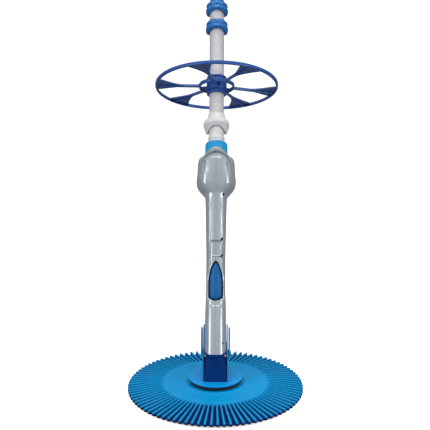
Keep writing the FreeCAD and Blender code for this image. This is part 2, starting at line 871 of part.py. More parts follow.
def make_manifold():
    """Joins both flow tubes and leads to the swivel socket."""
    body = new_body("manifold_body")
    low = "body_length - tube_end_drop"
    top = f"{low} + manifold_length"
    turned(
        body,
        "manifold_turn",
        [
            ("0", low),
            ("manifold_radius", low),
            ("manifold_radius", f"{low} + 30"),
            ("socket_radius", f"{top} - 10"),
            ("socket_radius", top),
            ("pipe_radius - pipe_wall", top),
            ("pipe_radius - pipe_wall", f"{top} - 14"),
            ("manifold_radius - 3", f"{low} + 28"),
            ("manifold_radius - 3", f"{low} + 3"),
            ("0", f"{low} + 3"),
        ],
    )
    holes = []
    for name, radius, offset in (
        ("manifold_front", "front_tube_radius - tube_wall", "-front_tube_offset"),
        ("manifold_rear", "rear_tube_radius - tube_wall", "rear_tube_offset"),
    ):
        holes.append(cylinder(name, radius, "6", ("0", offset, f"{low} - 1")))
    keep(cut("manifold_cut", body, holes), "manifold", LEANING)


# --- the swivel, the nut and the pipe ------------------------------------------------------------------------

PIPE_BASE = "body_length - tube_end_drop + manifold_length + 2"
SOCKET_BASE = "body_length - tube_end_drop + manifold_length"
SOCKET_TOP = SOCKET_BASE + " + socket_length"
NUT_BASE = "body_length - nut_sink"


def make_swivel_socket():
    body = new_body("socket_body")
    bore = "pipe_radius + running_clearance"
    turned(
        body,
        "socket_turn",
        [
            (bore, SOCKET_BASE),
            ("socket_radius", SOCKET_BASE),
            ("socket_radius", SOCKET_TOP),
            (bore, SOCKET_TOP),
        ],
    )
    keep(body, "swivel_socket", LEANING)


def make_swivel_seal():
    """A square ring in the pipe's groove, with a running fit in the socket."""
    body = new_body("seal_body")
    low = f"{PIPE_BASE} + seal_station"
    turned(
        body,
        "seal_turn",
        [
            ("pipe_radius - seal_depth + 0.02", f"{low} + 0.1"),
            ("pipe_radius", f"{low} + 0.1"),
            ("pipe_radius", f"{low} + seal_height - 0.1"),
            ("pipe_radius - seal_depth + 0.02", f"{low} + seal_height - 0.1"),
        ],
    )
    keep(body, "swivel_seal", LEANING)


def make_outer_pipe():
    """The pipe that turns in the socket, held by its collar under the nut's lip."""
    body = new_body("pipe_body")
    bore = "pipe_radius - pipe_wall"
    groove = f"{PIPE_BASE} + seal_station"
    collar = f"{SOCKET_TOP} + loose_clearance"
    lip = f"{PIPE_BASE} + pipe_lip_station"
    turned(
        body,
        "pipe_turn",
        [
            (bore, PIPE_BASE),
            ("pipe_radius", PIPE_BASE),
            ("pipe_radius", groove),
            ("pipe_radius - seal_depth", groove),
            ("pipe_radius - seal_depth", f"{groove} + seal_height"),
            ("pipe_radius", f"{groove} + seal_height"),
            ("pipe_radius", collar),
            ("pipe_radius + pipe_collar", collar),
            ("pipe_radius + pipe_collar", f"{collar} + pipe_collar_height"),
            ("pipe_radius", f"{collar} + pipe_collar_height"),
            ("pipe_radius", lip),
            ("pipe_radius + pipe_lip", f"{lip} + 1"),
            ("pipe_radius + pipe_lip", f"{lip} + 5"),
            ("pipe_radius", f"{lip} + 7"),
            ("pipe_radius", f"{PIPE_BASE} + pipe_length"),
            (bore, f"{PIPE_BASE} + pipe_length"),
        ],
    )
    keep(body, "outer_pipe", LEANING)


def make_hand_nut():
    """A skirt over the socket and a lip over the pipe's collar, with grip ribs outside."""
    body = new_body("nut_body")
    skirt = "socket_radius + 0.3"
    step = f"{NUT_BASE} + nut_skirt"
    top = f"{NUT_BASE} + nut_height"
    turned(
        body,
        "nut_turn",
        [
            (skirt, NUT_BASE),
            ("nut_radius - 1.2", NUT_BASE),
            ("nut_radius - 1.2", f"{top} - 2"),
            ("nut_radius - 3.2", top),
            ("pipe_radius + loose_clearance", top),
            ("pipe_radius + loose_clearance", step),
            (skirt, step),
        ],
    )
    rib = padded(
        body,
        "nut_rib",
        "XZ_Plane",
        [
            ("nut_radius - 2", f"{NUT_BASE} + 1"),
            ("nut_radius", f"{NUT_BASE} + 1"),
            ("nut_radius", f"{top} - 3.5"),
            ("nut_radius - 2", f"{top} - 2.5"),
        ],
        "2.6",
    )
    patterned(body, "nut_ribs", rib, "pleat_count / 5")
    keep(body, "hand_nut", LEANING)


# --- the hose and what is on it ------------------------------------------------------------------------------

HOSE_BASE = f"{PIPE_BASE} + pipe_length + 1"
HOSE_TOP = f"{HOSE_BASE} + hose_length"
LINK_TOP = f"{HOSE_TOP} + 0.5 + link_length"
CUFF_BASE = f"{HOSE_BASE} - cuff_length + cuff_grip"


def make_hose_end_cuff():
    """A bell that slips over the pipe at its mouth and holds the hose in its neck."""
    body = new_body("cuff_body")
    turned(
        body,
        "cuff_turn",
        [
            ("pipe_radius + 0.3", CUFF_BASE),
            ("pipe_radius + cuff_mouth_wall", CUFF_BASE),
            ("cuff_radius - 2", f"{CUFF_BASE} + 14"),
            ("cuff_radius", f"{CUFF_BASE} + 22"),
            ("cuff_radius", f"{CUFF_BASE} + 29"),
            ("cuff_radius - 4.5", f"{CUFF_BASE} + 36"),
            ("hose_radius + 3", f"{CUFF_BASE} + cuff_length - 10"),
            ("hose_radius + 1.8", f"{CUFF_BASE} + cuff_length"),
            ("hose_radius + 0.1", f"{CUFF_BASE} + cuff_length"),
            ("hose_radius + 0.1", f"{HOSE_BASE} - 0.5"),
            ("pipe_radius + 0.3", f"{HOSE_BASE} - 0.5"),
        ],
    )
    keep(body, "hose_end_cuff", LEANING)


def hose(name, low, length):
    """A straight stretch of hose: one run along the axis, swept with the hose's ring."""
    start = FreeCAD.Vector(0, 0, value(low))
    end = FreeCAD.Vector(0, 0, value(low) + value(length))
    route = Part.Wire([Part.LineSegment(start, end).toShape()])
    upward = FreeCAD.Vector(0, 0, 1)
    discs = []
    for radius in ("hose_radius", "hose_bore_radius"):
        discs.append(Part.Face(Part.Wire([Part.Circle(start, upward, value(radius)).toShape()])))
    outside, bore = [disc.extrude(end - start) for disc in discs]
    tube = outside.cut(bore)
    section = discs[0].Area - discs[1].Area
    print(name, "volume", round(tube.Volume), "section x length", round(section * route.Length))
    keep(featured(name + "_feature", tube), name, LEANING)


def make_blue_cuff(name, low, tail=()):
    """Two rounded bands with a waist between, over the hose's end, and above them the corners of any tail."""
    body = new_body(name + "_body")
    turned(
        body,
        name + "_turn",
        [
            ("hose_radius + 0.1", low),
            ("blue_cuff_radius - 4", low),
            ("blue_cuff_radius - 1", f"{low} + 4"),
            ("blue_cuff_radius", f"{low} + 11"),
            ("blue_cuff_radius - 1.5", f"{low} + 18"),
            ("blue_cuff_radius - 2.6", f"{low} + 20.5"),
            ("blue_cuff_radius - 1.8", f"{low} + 24"),
            ("blue_cuff_radius - 3", f"{low} + blue_cuff_length - 4"),
            ("blue_cuff_radius - 6", f"{low} + blue_cuff_length"),
            *(tail or [("hose_radius + 0.1", f"{low} + blue_cuff_length")]),
        ],
    )
    keep(body, name, LEANING)


def make_upper_cuff():
    """The cuff at the free end, with a tail that the next length of hose plugs on to."""
    seat = f"{LINK_TOP} + 0.5"
    shoulder = f"{LINK_TOP} - blue_cuff_sink + blue_cuff_length"
    tail = [
        ("tail_radius", shoulder),
        ("tail_radius", f"{shoulder} + tail_length - 1"),
        ("tail_radius - 1", f"{shoulder} + tail_length"),
        ("tail_bore_radius", f"{shoulder} + tail_length"),
        ("tail_bore_radius", seat),
        ("hose_radius + 0.1", seat),
    ]
    make_blue_cuff("upper_blue_cuff", f"{LINK_TOP} - blue_cuff_sink", tail)


def make_hub_collar():
    """Two clamped halves round the hose that carry the wheel between their end flanges."""
    low = f"{HOSE_BASE} + hub_station - hub_length / 2"
    for side, name in ((-1, "left_hub_half"), (1, "right_hub_half")):
        body = new_body(name + "_body")
        turned(
            body,
            name + "_turn",
            [
                ("hose_radius + 0.1", low),
                ("hub_flange", low),
                ("hub_flange", f"{low} + 3"),
                ("hub_radius", f"{low} + 4"),
                ("hub_radius", f"{low} + hub_length - 4"),
                ("hub_flange", f"{low} + hub_length - 3"),
                ("hub_flange", f"{low} + hub_length"),
                ("hose_radius + 0.1", f"{low} + hub_length"),
            ],
        )
        wide = "4 * hub_radius"
        other = block(f"{name}_other", wide, wide, "hub_length + 2", "0", f"{low} - 1")
        other.Placement.Base.x = value("-4 * hub_radius") if side > 0 else 0.0
        keep(cut(name + "_cut", body, [other]), name, LEANING)


# --- the deflector wheel -------------------------------------------------------------------------------------


def make_deflector_wheel():
    """A rim on six spokes in three pairs, an inner ring, and a bearing that runs on the hub."""
    middle = f"{HOSE_BASE} + hub_station"
    rings = []
    bearing_width = "wheel_bearing_wall - running_clearance"
    for name, outer, width, height in (
        ("wheel_rim", "wheel_radius", "rim_width", "rim_height"),
        ("wheel_ring", "inner_ring_radius", "inner_ring_width", "inner_ring_height"),
        ("wheel_bearing", "wheel_bearing_radius", bearing_width, "wheel_bearing_height"),
    ):
        body = new_body(name + "_body")
        low = f"{middle} - ({height}) / 2"
        high = f"{middle} + ({height}) / 2"
        turned(
            body,
            name,
            [
                (f"{outer} - ({width})", low),
                (outer, low),
                (outer, high),
                (f"{outer} - ({width})", high),
            ],
        )
        rings.append(body)
    radius = value("wheel_radius - rim_width / 2")
    ring = value("inner_ring_radius - inner_ring_width / 2")
    bearing = value("wheel_bearing_radius") - 0.8
    half = value("spoke_width") / 2
    flare = value("spoke_flare")
    start = value("spoke_flare_start")
    level = value(middle)
    thick = value("spoke_thickness")
    rib = value("spoke_rib")
    web = [(ring, -half), (start, -half), (radius, -flare), (radius, flare), (start, half), (ring, half)]
    spine = [(ring, -rib), (radius, -rib), (radius, rib), (ring, rib)]
    arm = [(bearing, -half), (ring, -half), (ring, half), (bearing, half)]
    blades = []
    for pair in range(3):
        centre = value("first_pair_angle") - 120 * pair
        for side in (-1, 1):
            angle = centre + side * value("spoke_half_angle")
            blades.append(spoke(web, level, thick, angle))
            blades.append(spoke(spine, level, value("rim_height") - 0.6, angle))
        blades.append(spoke(arm, level, value("inner_ring_height") / 2, centre))
    arms = featured("wheel_spokes", blades[0].multiFuse(blades[1:]))
    rim_limit = featured("wheel_limit", Part.makeCylinder(value("wheel_radius"), FAR))
    trimmed = doc.addObject("Part::Common", "wheel_trimmed")
    trimmed.Base = arms
    trimmed.Tool = rim_limit
    keep(joined("wheel_join", rings + [trimmed]), "deflector_wheel", LEANING)


def spoke(spots, level, thickness, angle):
    """A level plate with the given outline, turned to its angle about the axis."""
    corners = [FreeCAD.Vector(along, across, level - thickness / 2) for along, across in spots]
    face = Part.Face(Part.makePolygon(corners + corners[:1]))
    plate = face.extrude(FreeCAD.Vector(0, 0, thickness))
    plate.rotate(FreeCAD.Vector(0, 0, 0), FreeCAD.Vector(0, 0, 1), angle)
    return plate


make_foot_sole()
make_foot_frame()
make_foot_column()
make_cheeks()
make_foot_screws()
make_ballast()
make_finned_disc()
make_body_shells()
make_body_screws()
make_slot_insert()
make_floats()
make_flapper_chamber()
make_flapper()
make_flapper_pin()
make_flapper_seats()
make_flow_tubes()
make_manifold()
make_swivel_socket()
make_swivel_seal()
make_outer_pipe()
make_hand_nut()
make_hose_end_cuff()
hose("leader_hose", HOSE_BASE, "hose_length")
make_hub_collar()
make_deflector_wheel()
make_blue_cuff("lower_blue_cuff", f"{HOSE_TOP} - blue_cuff_sink")
hose("link_hose", f"{HOSE_TOP} + 0.5", "link_length")
make_upper_cuff()

doc.recompute()

for item in doc.Objects:
    if "Invalid" in item.State or "Error" in item.State:
        raise RuntimeError(f"{item.Name} failed: {item.State}")
for item in sub_parts:
    if item.Shape.isNull() or not item.Shape.isValid():
        raise RuntimeError(f"{item.Label} has no valid shape")

os.makedirs("parts", exist_ok=True)
for item in sub_parts:
    item.Shape.exportStep(f"parts/{item.Label}.step")
    print(item.Label, len(item.Shape.Solids), round(item.Shape.Volume / 1000, 1), "cm3")
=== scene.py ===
import json
import math

import bmesh
import bpy
from mathutils import Matrix, Vector


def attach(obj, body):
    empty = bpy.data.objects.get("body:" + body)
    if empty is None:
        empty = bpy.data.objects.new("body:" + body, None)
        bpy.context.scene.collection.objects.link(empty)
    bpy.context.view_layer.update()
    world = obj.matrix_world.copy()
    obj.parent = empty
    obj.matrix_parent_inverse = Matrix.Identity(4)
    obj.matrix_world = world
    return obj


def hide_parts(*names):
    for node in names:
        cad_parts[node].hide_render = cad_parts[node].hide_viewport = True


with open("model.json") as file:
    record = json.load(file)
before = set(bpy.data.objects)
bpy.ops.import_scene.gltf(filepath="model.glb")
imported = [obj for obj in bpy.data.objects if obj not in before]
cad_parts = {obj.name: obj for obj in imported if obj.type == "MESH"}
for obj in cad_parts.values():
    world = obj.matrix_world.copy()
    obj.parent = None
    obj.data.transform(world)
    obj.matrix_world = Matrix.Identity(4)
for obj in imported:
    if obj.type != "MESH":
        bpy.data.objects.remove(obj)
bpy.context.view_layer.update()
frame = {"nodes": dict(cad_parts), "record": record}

# A suction pool cleaner. Meshes are drawn in millimetres. The foot and the disc are drawn in the shared frame;
# the body, pipe and hose are drawn upright along the leaning axis and then tilted with it.

MM = 0.001
UPRIGHT = Matrix.Identity(4)
JOINTS = {joint["name"]: joint for joint in frame["record"]["behaviour"]["joints"]}
SWIVEL = JOINTS["pipe_swivel"]
TILT = Vector((0, 0, 1)).rotation_difference(Vector(SWIVEL["axis"])).to_matrix().to_4x4()
LEANING = Matrix.Translation(Vector(SWIVEL["pos_m"])) @ TILT


def span(node, matrix=UPRIGHT):
    """Lowest and highest corner of a CAD node in millimetres, measured in the frame that matrix makes."""
    back = matrix.inverted()
    corners = [back @ vertex.co for vertex in frame["nodes"][node].data.vertices]
    low = Vector([min(corner[k] for corner in corners) for k in range(3)]) / MM
    high = Vector([max(corner[k] for corner in corners) for k in range(3)]) / MM
    return low, high


# --- outlines and meshes -------------------------------------------------------------------------------------


def smoothstep(low, high, at):
    share = min(1.0, max(0.0, (at - low) / (high - low)))
    return share * share * (3 - 2 * share)


def filleted(corners, radius, steps=3):
    """A closed outline with every corner rounded, as far as its sides allow."""
    points = []
    for number, corner in enumerate(corners):
        tip = Vector(corner)
        before = Vector(corners[number - 1]) - tip
        after = Vector(corners[(number + 1) % len(corners)]) - tip
        if before.length < 1e-6 or after.length < 1e-6:
            continue
        half_angle = before.angle(after) / 2
        reach = radius / max(math.tan(half_angle), 1e-3)
        reach = min(reach, 0.45 * before.length, 0.45 * after.length)
        start = tip + before.normalized() * reach
        end = tip + after.normalized() * reach
        for step in range(steps + 1):
            share = step / steps
            points.append((1 - share) ** 2 * start + 2 * share * (1 - share) * tip + share**2 * end)
    return points


def strip(rings, closed_ring=True, closed_run=False, caps=False):
    """Faces between rings of points that all have the same count."""
    vertices = [tuple(point) for ring in rings for point in ring]
    count = len(rings[0])
    faces = []
    runs = len(rings) if closed_run else len(rings) - 1
    columns = count if closed_ring else count - 1
    for ring in range(runs):
        for column in range(columns):
            here = ring * count + column
            beside = ring * count + (column + 1) % count
            above = ((ring + 1) % len(rings)) * count + column
            across = ((ring + 1) % len(rings)) * count + (column + 1) % count
            faces.append((here, beside, across, above))
    if caps:
        faces.append(tuple(range(count))[::-1])
        faces.append(tuple(range((len(rings) - 1) * count, len(rings) * count)))
    return vertices, faces


def lathe(profile, segments=96, shape=None):
    """Turns a closed outline of (radius, height) about Z. shape may change each point for its angle."""
    rings = []
    for segment in range(segments):
        angle = 2 * math.pi * segment / segments
        ring = []
        for radius, height in profile:
            if shape:
                radius_here, height_here = shape(radius, height, angle)
            else:
                radius_here, height_here = radius, height
            ring.append((radius_here * math.cos(angle), radius_here * math.sin(angle), height_here))
        rings.append(ring)
    return strip(rings, closed_run=True)


def prism(outline, low, high, edge=0.0, matrix=UPRIGHT, steps=2):
    """A flat outline pushed from low to high along Z, with its edges rounded by edge."""
    middle = Vector((sum(p[0] for p in outline) / len(outline), sum(p[1] for p in outline) / len(outline)))
    rings = []
    levels = []
    for step in range(steps + 1):
        turn = math.pi / 2 * step / steps
        levels.append((edge * (1 - math.sin(turn)), low + edge * (1 - math.cos(turn))))
    for inset, height in levels + [(inset, high + low - height) for inset, height in reversed(levels)]:
        ring = []
        for number, point in enumerate(outline):
            here = Vector(point)
            before = here - Vector(outline[number - 1])
            after = Vector(outline[(number + 1) % len(outline)]) - here
            along = before
            if before.length and after.length:
                along = (before.normalized() + after.normalized()).normalized()
            inward = Vector((-along.y, along.x))
            if inward.dot(middle - here) < 0 and edge and turn_side(outline) < 0:
                inward = -inward
            ring.append(matrix @ Vector((*(here + inward * inset * turn_side(outline)), height)))
        rings.append(ring)
    return strip(rings, caps=True)


def turn_side(outline):
    """1 where the outline runs counter-clockwise and -1 where it runs clockwise."""
    area = 0.0
    for number, point in enumerate(outline):
        following = outline[(number + 1) % len(outline)]
        area += point[0] * following[1] - following[0] * point[1]
    return 1 if area > 0 else -1


def tube(path, radii, segments=24, caps=True):
    """A round tube along a list of points, with a radius for each."""
    rings = []
    normal = None
    for number, point in enumerate(path):
        before = path[max(0, number - 1)]
        after = path[min(len(path) - 1, number + 1)]
        along = (Vector(after) - Vector(before)).normalized()
        if normal is None:
            normal = along.orthogonal().normalized()
        normal = (normal - along * normal.dot(along)).normalized()
        side = along.cross(normal)
        ring = []
        for segment in range(segments):
            angle = 2 * math.pi * segment / segments
            ring.append(Vector(point) + (normal * math.cos(angle) + side * math.sin(angle)) * radii[number])
        rings.append(ring)
    return strip(rings, caps=caps)


def placed(part, matrix):
    vertices, faces = part
    return [tuple(matrix @ Vector(vertex)) for vertex in vertices], faces


def make_piece(name, parts, material, body, replaced=(), matrix=UPRIGHT, sharp=38):
    """One object from several closed parts, moved into the shared frame, that rides on a body."""
    vertices = []
    faces = []
    for part_vertices, part_faces in parts:
        start = len(vertices)
        vertices.extend(part_vertices)
        faces.extend(tuple(index + start for index in face) for face in part_faces)
    mesh = bpy.data.meshes.new(name)
    mesh.from_pydata(vertices, [], faces)
    work = bmesh.new()
    work.from_mesh(mesh)
    bmesh.ops.remove_doubles(work, verts=work.verts, dist=0.002)
    bmesh.ops.dissolve_degenerate(work, dist=0.001, edges=work.edges)
    bmesh.ops.recalc_face_normals(work, faces=work.faces)
    work.to_mesh(mesh)
    work.free()
    mesh.transform(matrix @ Matrix.Scale(MM, 4))
    for polygon in mesh.polygons:
        polygon.use_smooth = True
    mesh.set_sharp_from_angle(angle=math.radians(sharp))
    mesh.materials.append(material)
    piece = bpy.data.objects.new(name, mesh)
    bpy.context.scene.collection.objects.link(piece)
    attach(piece, body)
    if replaced:
        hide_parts(*replaced)
    return piece


# --- materials -----------------------------------------------------------------------------------------------


def material_with(name):
    material = bpy.data.materials.new(name)
    material.use_nodes = True
    nodes = material.node_tree.nodes
    return material, nodes, material.node_tree.links, nodes["Principled BSDF"]


def mix_colours(nodes, links, factor, first, second, blend="MIX"):
    mix = nodes.new("ShaderNodeMix")
    mix.data_type = "RGBA"
    mix.blend_type = blend
    for socket, item in ((mix.inputs[0], factor), (mix.inputs[6], first), (mix.inputs[7], second)):
        if isinstance(item, bpy.types.NodeSocket):
            links.new(item, socket)
        else:
            socket.default_value = item
    return mix.outputs[2]


def noise(nodes, links, scale, detail=3.0, stretch=(1, 1, 1)):
    coordinates = nodes.new("ShaderNodeTexCoord")
    mapping = nodes.new("ShaderNodeMapping")
    mapping.inputs["Scale"].default_value = stretch
    links.new(coordinates.outputs["Object"], mapping.inputs["Vector"])
    texture = nodes.new("ShaderNodeTexNoise")
    texture.inputs["Scale"].default_value = scale
    texture.inputs["Detail"].default_value = detail
    links.new(mapping.outputs["Vector"], texture.inputs["Vector"])
    return texture.outputs["Fac"]


def ranged(nodes, links, value, low, high, from_low=0.3, from_high=0.7):
    spread = nodes.new("ShaderNodeMapRange")
    spread.inputs["From Min"].default_value = from_low
    spread.inputs["From Max"].default_value = from_high
    spread.inputs["To Min"].default_value = low
    spread.inputs["To Max"].default_value = high
    links.new(value, spread.inputs["Value"])
    return spread.outputs["Result"]


def moulded(name, colour, rough=0.35, mottle=0.10, grain=0.05, grain_scale=1400.0, edge=0.25, metal=0.0,
            coat=0.0, soft=0.0, shine=0.3, stretch=(1, 1, 1)):
    """Moulded plastic or rubber: mottled colour, a painted highlight that lightens the sharp edges, and a fine
    moulded grain.
    """
    material, nodes, links, shader = material_with(name)
    shader.inputs["Specular IOR Level"].default_value = shine
    base = (*colour, 1)
    dark = (*[channel * (1 - mottle) for channel in colour], 1)
    # pale is the colour of the painted highlight on sharp edges
    pale = (*[channel + (1 - channel) * 0.35 for channel in colour], 1)
    cloud = noise(nodes, links, 14.0, 4.0, stretch)
    tint = mix_colours(nodes, links, ranged(nodes, links, cloud, 0.0, 1.0), dark, base)
    # painted highlight: sharp edges, found by pointiness, are mixed towards pale by up to edge
    geometry = nodes.new("ShaderNodeNewGeometry")
    edge_highlight = ranged(nodes, links, geometry.outputs["Pointiness"], 0.0, edge, 0.56, 0.68)
    tint = mix_colours(nodes, links, edge_highlight, tint, pale)
    links.new(tint, shader.inputs["Base Color"])
    scuff = noise(nodes, links, 60.0, 5.0)
    links.new(ranged(nodes, links, scuff, rough * 0.92, rough * 1.1), shader.inputs["Roughness"])
    shader.inputs["Metallic"].default_value = metal
    shader.inputs["Coat Weight"].default_value = coat
    shader.inputs["Coat Roughness"].default_value = 0.12
    shader.inputs["Subsurface Weight"].default_value = soft
    shader.inputs["Subsurface Radius"].default_value = (0.004, 0.004, 0.004)
    bump = nodes.new("ShaderNodeBump")
    bump.inputs["Strength"].default_value = grain
    bump.inputs["Distance"].default_value = 0.0004
    links.new(noise(nodes, links, grain_scale, 2.0), bump.inputs["Height"])
    links.new(bump.outputs["Normal"], shader.inputs["Normal"])
    return material


# edge sets how strongly each material's sharp edges get the painted highlight
LIGHT_BLUE = moulded("light_blue_plastic", (0.0, 0.27, 0.62), rough=0.36, mottle=0.08, edge=0.1, shine=0.18)
DARK_BLUE = moulded("dark_blue_plastic", (0.0, 0.035, 0.19), rough=0.34, mottle=0.15, shine=0.22)
INSERT_BLUE = moulded("insert_blue_plastic", (0.002, 0.095, 0.30), rough=0.45, mottle=0.15, shine=0.2)
SHELL_GREY = moulded("silver_grey_plastic", (0.32, 0.365, 0.395), rough=0.3, mottle=0.04, grain=0.0, edge=0.0,
                     metal=0.25, coat=0.35, shine=0.55)
NUT_BLUE = moulded("nut_blue_plastic", (0.01, 0.30, 0.62), rough=0.32, mottle=0.12)
ROYAL_BLUE = moulded("royal_blue_plastic", (0.012, 0.075, 0.31), rough=0.28, mottle=0.12, edge=0.35, shine=0.4)
CUFF_BLUE = moulded("cuff_blue_plastic", (0.006, 0.13, 0.40), rough=0.28, mottle=0.14, shine=0.4)
WHITE = moulded("white_plastic", (0.62, 0.62, 0.63), rough=0.36, mottle=0.04, soft=0.05)
HOSE_WHITE = moulded("hose_white_plastic", (0.55, 0.55, 0.57), rough=0.42, mottle=0.07, soft=0.05)
SOLE = moulded("sole_rubber_black", (0.02, 0.024, 0.03), rough=0.6, mottle=0.3, grain=0.3)
# black of the inner parts, and also of the rings that are painted shade under the flange and round the brass
# pins
BLACK_AND_PAINTED_SHADE = moulded("inner_black_plastic_and_painted_shade", (0.02, 0.02, 0.023), rough=0.5, mottle=0.3, grain=0.15)
FOAM = moulded("float_foam_cream", (0.62, 0.60, 0.54), rough=0.85, mottle=0.12, grain=0.7, grain_scale=700.0)
IRON = moulded("ballast_grey_iron", (0.08, 0.08, 0.085), rough=0.55, mottle=0.35, grain=0.5, metal=0.7)
STEEL = moulded("screw_steel", (0.50, 0.50, 0.51), rough=0.25, mottle=0.2, metal=1.0, shine=0.5)
BRASS = moulded("screw_brass", (0.62, 0.44, 0.20), rough=0.25, mottle=0.2, metal=1.0, shine=0.5)


def pleated_rubber():
    """The disc's rubber with painted shade in the pleats' valleys: darker the deeper a place lies below the
    line of the pleats' ridges.
    """
    material = moulded("disc_blue_rubber", (0.0, 0.26, 0.56), rough=0.46, mottle=0.10, grain=0.06, shine=0.14)
    nodes, links = material.node_tree.nodes, material.node_tree.links
    shader = nodes["Principled BSDF"]
    tint = shader.inputs["Base Color"].links[0].from_socket
    coordinates = nodes.new("ShaderNodeTexCoord")
    split = nodes.new("ShaderNodeSeparateXYZ")
    links.new(coordinates.outputs["Object"], split.inputs["Vector"])
    flat = nodes.new("ShaderNodeVectorMath")
    flat.operation = "MULTIPLY"
    flat.inputs[1].default_value = (1, 1, 0)
    links.new(coordinates.outputs["Object"], flat.inputs[0])
    length = nodes.new("ShaderNodeVectorMath")
    length.operation = "LENGTH"
    links.new(flat.outputs["Vector"], length.inputs[0])
    line = nodes.new("ShaderNodeMapRange")
    line.inputs["From Min"].default_value = 0.120
    line.inputs["From Max"].default_value = 0.205
    line.inputs["To Min"].default_value = 0.0215
    line.inputs["To Max"].default_value = 0.013
    links.new(length.outputs["Value"], line.inputs["Value"])
    depth = nodes.new("ShaderNodeMath")
    depth.operation = "SUBTRACT"
    links.new(line.outputs["Result"], depth.inputs[0])
    links.new(split.outputs["Z"], depth.inputs[1])
    shade = ranged(nodes, links, depth.outputs[0], 0.0, 1.0, 0.0006, 0.0048)
    outside = ranged(nodes, links, length.outputs["Value"], 0.0, 1.0, 0.117, 0.121)
    valley_shade_mask = nodes.new("ShaderNodeMath")
    valley_shade_mask.operation = "MULTIPLY"
    links.new(shade, valley_shade_mask.inputs[0])
    links.new(outside, valley_shade_mask.inputs[1])
    # painted shade: places below the ridges' line are mixed towards a near-black navy, as the shade deep in the
    # valleys
    deep = mix_colours(nodes, links, valley_shade_mask.outputs[0], tint, (0.0, 0.012, 0.12, 1))
    links.new(deep, shader.inputs["Base Color"])
    return material


DISC_BLUE = pleated_rubber()

CARRIED = {
    "foot_sole": SOLE,
    "ballast_weight": IRON,
    "left_float": FOAM,
    "right_float": FOAM,
    "flapper_chamber": BLACK_AND_PAINTED_SHADE,
    "flapper": SOLE,
    "flapper_pin": STEEL,
    "front_seat": SOLE,
    "rear_seat": SOLE,
    "front_flow_tube": BLACK_AND_PAINTED_SHADE,
    "rear_flow_tube": BLACK_AND_PAINTED_SHADE,
    "manifold": BLACK_AND_PAINTED_SHADE,
    "swivel_socket": BLACK_AND_PAINTED_SHADE,
    "swivel_seal": SOLE,
    "body_screws": STEEL,
}
for node, material in CARRIED.items():
    mesh = frame["nodes"][node].data
    mesh.materials.clear()
    mesh.materials.append(material)


# --- the finned disc -----------------------------------------------------------------------------------------

PLEATS = 90
WEB_RADIUS = 198.0
FLAT_RADIUS = 120.0
FLAT_TOP = 21.5
RIDGE_END = 13.0
UNDERSIDE = 17.5
DISC_BORE = 40.06
BOSS_TOP = 28.6
BOSS_FOOT = 12.4
VALLEY_DEPTH = 7.4
EDGE_SETBACK = 1.2
# a place across a pleat as a share of the pitch, and the share of the ridge's height that it has
PLEAT_SECTION = [
    (-0.5, 0.0), (-0.34, 0.0), (-0.24, 0.12), (-0.19, 0.80), (-0.14, 0.97), (-0.07, 1.0),
    (0.0, 1.0), (0.07, 1.0), (0.14, 0.97), (0.19, 0.80), (0.24, 0.12), (0.34, 0.0),
]


def circle_ring(radius, height, angles):
    return [(radius * math.cos(angle), radius * math.sin(angle), height) for angle, _ in angles]


def make_disc():
    """A flat ring with a bearing boss, and a skirt of deep radial pleats whose ridges reach past the web."""
    outer = span("finned_disc")[1].x
    steps = 26
    angles = []
    for pleat in range(PLEATS):
        for share, ridge in PLEAT_SECTION:
            angles.append((2 * math.pi * (pleat + share) / PLEATS, ridge))
    run = [(step / steps) ** 1.15 for step in range(steps + 1)]
    boss = [
        (DISC_BORE, BOSS_FOOT), (DISC_BORE, 21.0), (DISC_BORE, BOSS_TOP - 1), (DISC_BORE + 1, BOSS_TOP),
        (51, BOSS_TOP), (52, BOSS_TOP - 1), (52, FLAT_TOP + 1.5), (53.5, FLAT_TOP), (62, FLAT_TOP),
        (65.6, FLAT_TOP), (67, FLAT_TOP + 0.9), (68, FLAT_TOP + 1.2), (69, FLAT_TOP + 0.9), (70.4, FLAT_TOP),
        (90, FLAT_TOP), (108, FLAT_TOP), (115, FLAT_TOP),
    ]
    rings = [circle_ring(radius, height, angles) for radius, height in boss]
    for share in run:
        ring = []
        for angle, ridge in angles:
            edge = WEB_RADIUS + (outer - EDGE_SETBACK - WEB_RADIUS) * ridge
            radius = FLAT_RADIUS - 2 + (edge - FLAT_RADIUS + 2) * share
            line = FLAT_TOP - (FLAT_TOP - RIDGE_END) * max(0.0, radius - FLAT_RADIUS) / (outer - FLAT_RADIUS)
            lift = 0.6 * smoothstep(FLAT_RADIUS, FLAT_RADIUS + 7, radius) * ridge
            depth = (1 - ridge) * VALLEY_DEPTH * smoothstep(FLAT_RADIUS - 1, FLAT_RADIUS + 13, radius)
            ring.append((radius * math.cos(angle), radius * math.sin(angle), line + lift * (1 - share) - depth))
        rings.append(ring)
    top_edge = rings[-1]
    for reach, drop in ((0.8, 0.5), (1.2, 1.3)):
        ring = []
        for (x, y, z), (angle, ridge) in zip(top_edge, angles):
            radius = math.hypot(x, y) + reach
            ring.append((radius * math.cos(angle), radius * math.sin(angle), z - drop * (0.3 + 0.7 * ridge)))
        rings.append(ring)
    for reach, floor in ((1.2, 5.2), (0.4, 4.4)):
        ring = []
        for (x, y, z), (angle, ridge) in zip(top_edge, angles):
            radius = math.hypot(x, y) + reach
            ring.append((radius * math.cos(angle), radius * math.sin(angle), min(z - 0.8, floor)))
        rings.append(ring)
    underneath = [
        (191.0, 0.0), (188.0, 0.0), (160.0, 5.2), (130.0, 11.0), (FLAT_RADIUS, UNDERSIDE), (100.0, UNDERSIDE),
        (60.0, UNDERSIDE), (52.0, UNDERSIDE), (52.0, BOSS_FOOT + 1), (51.0, BOSS_FOOT),
    ]
    rings += [circle_ring(radius, height, angles) for radius, height in underneath]
    parts = [strip(rings, closed_run=True)]
    make_piece("pleated_disc", parts, DISC_BLUE, "disc", ["finned_disc"], sharp=48)


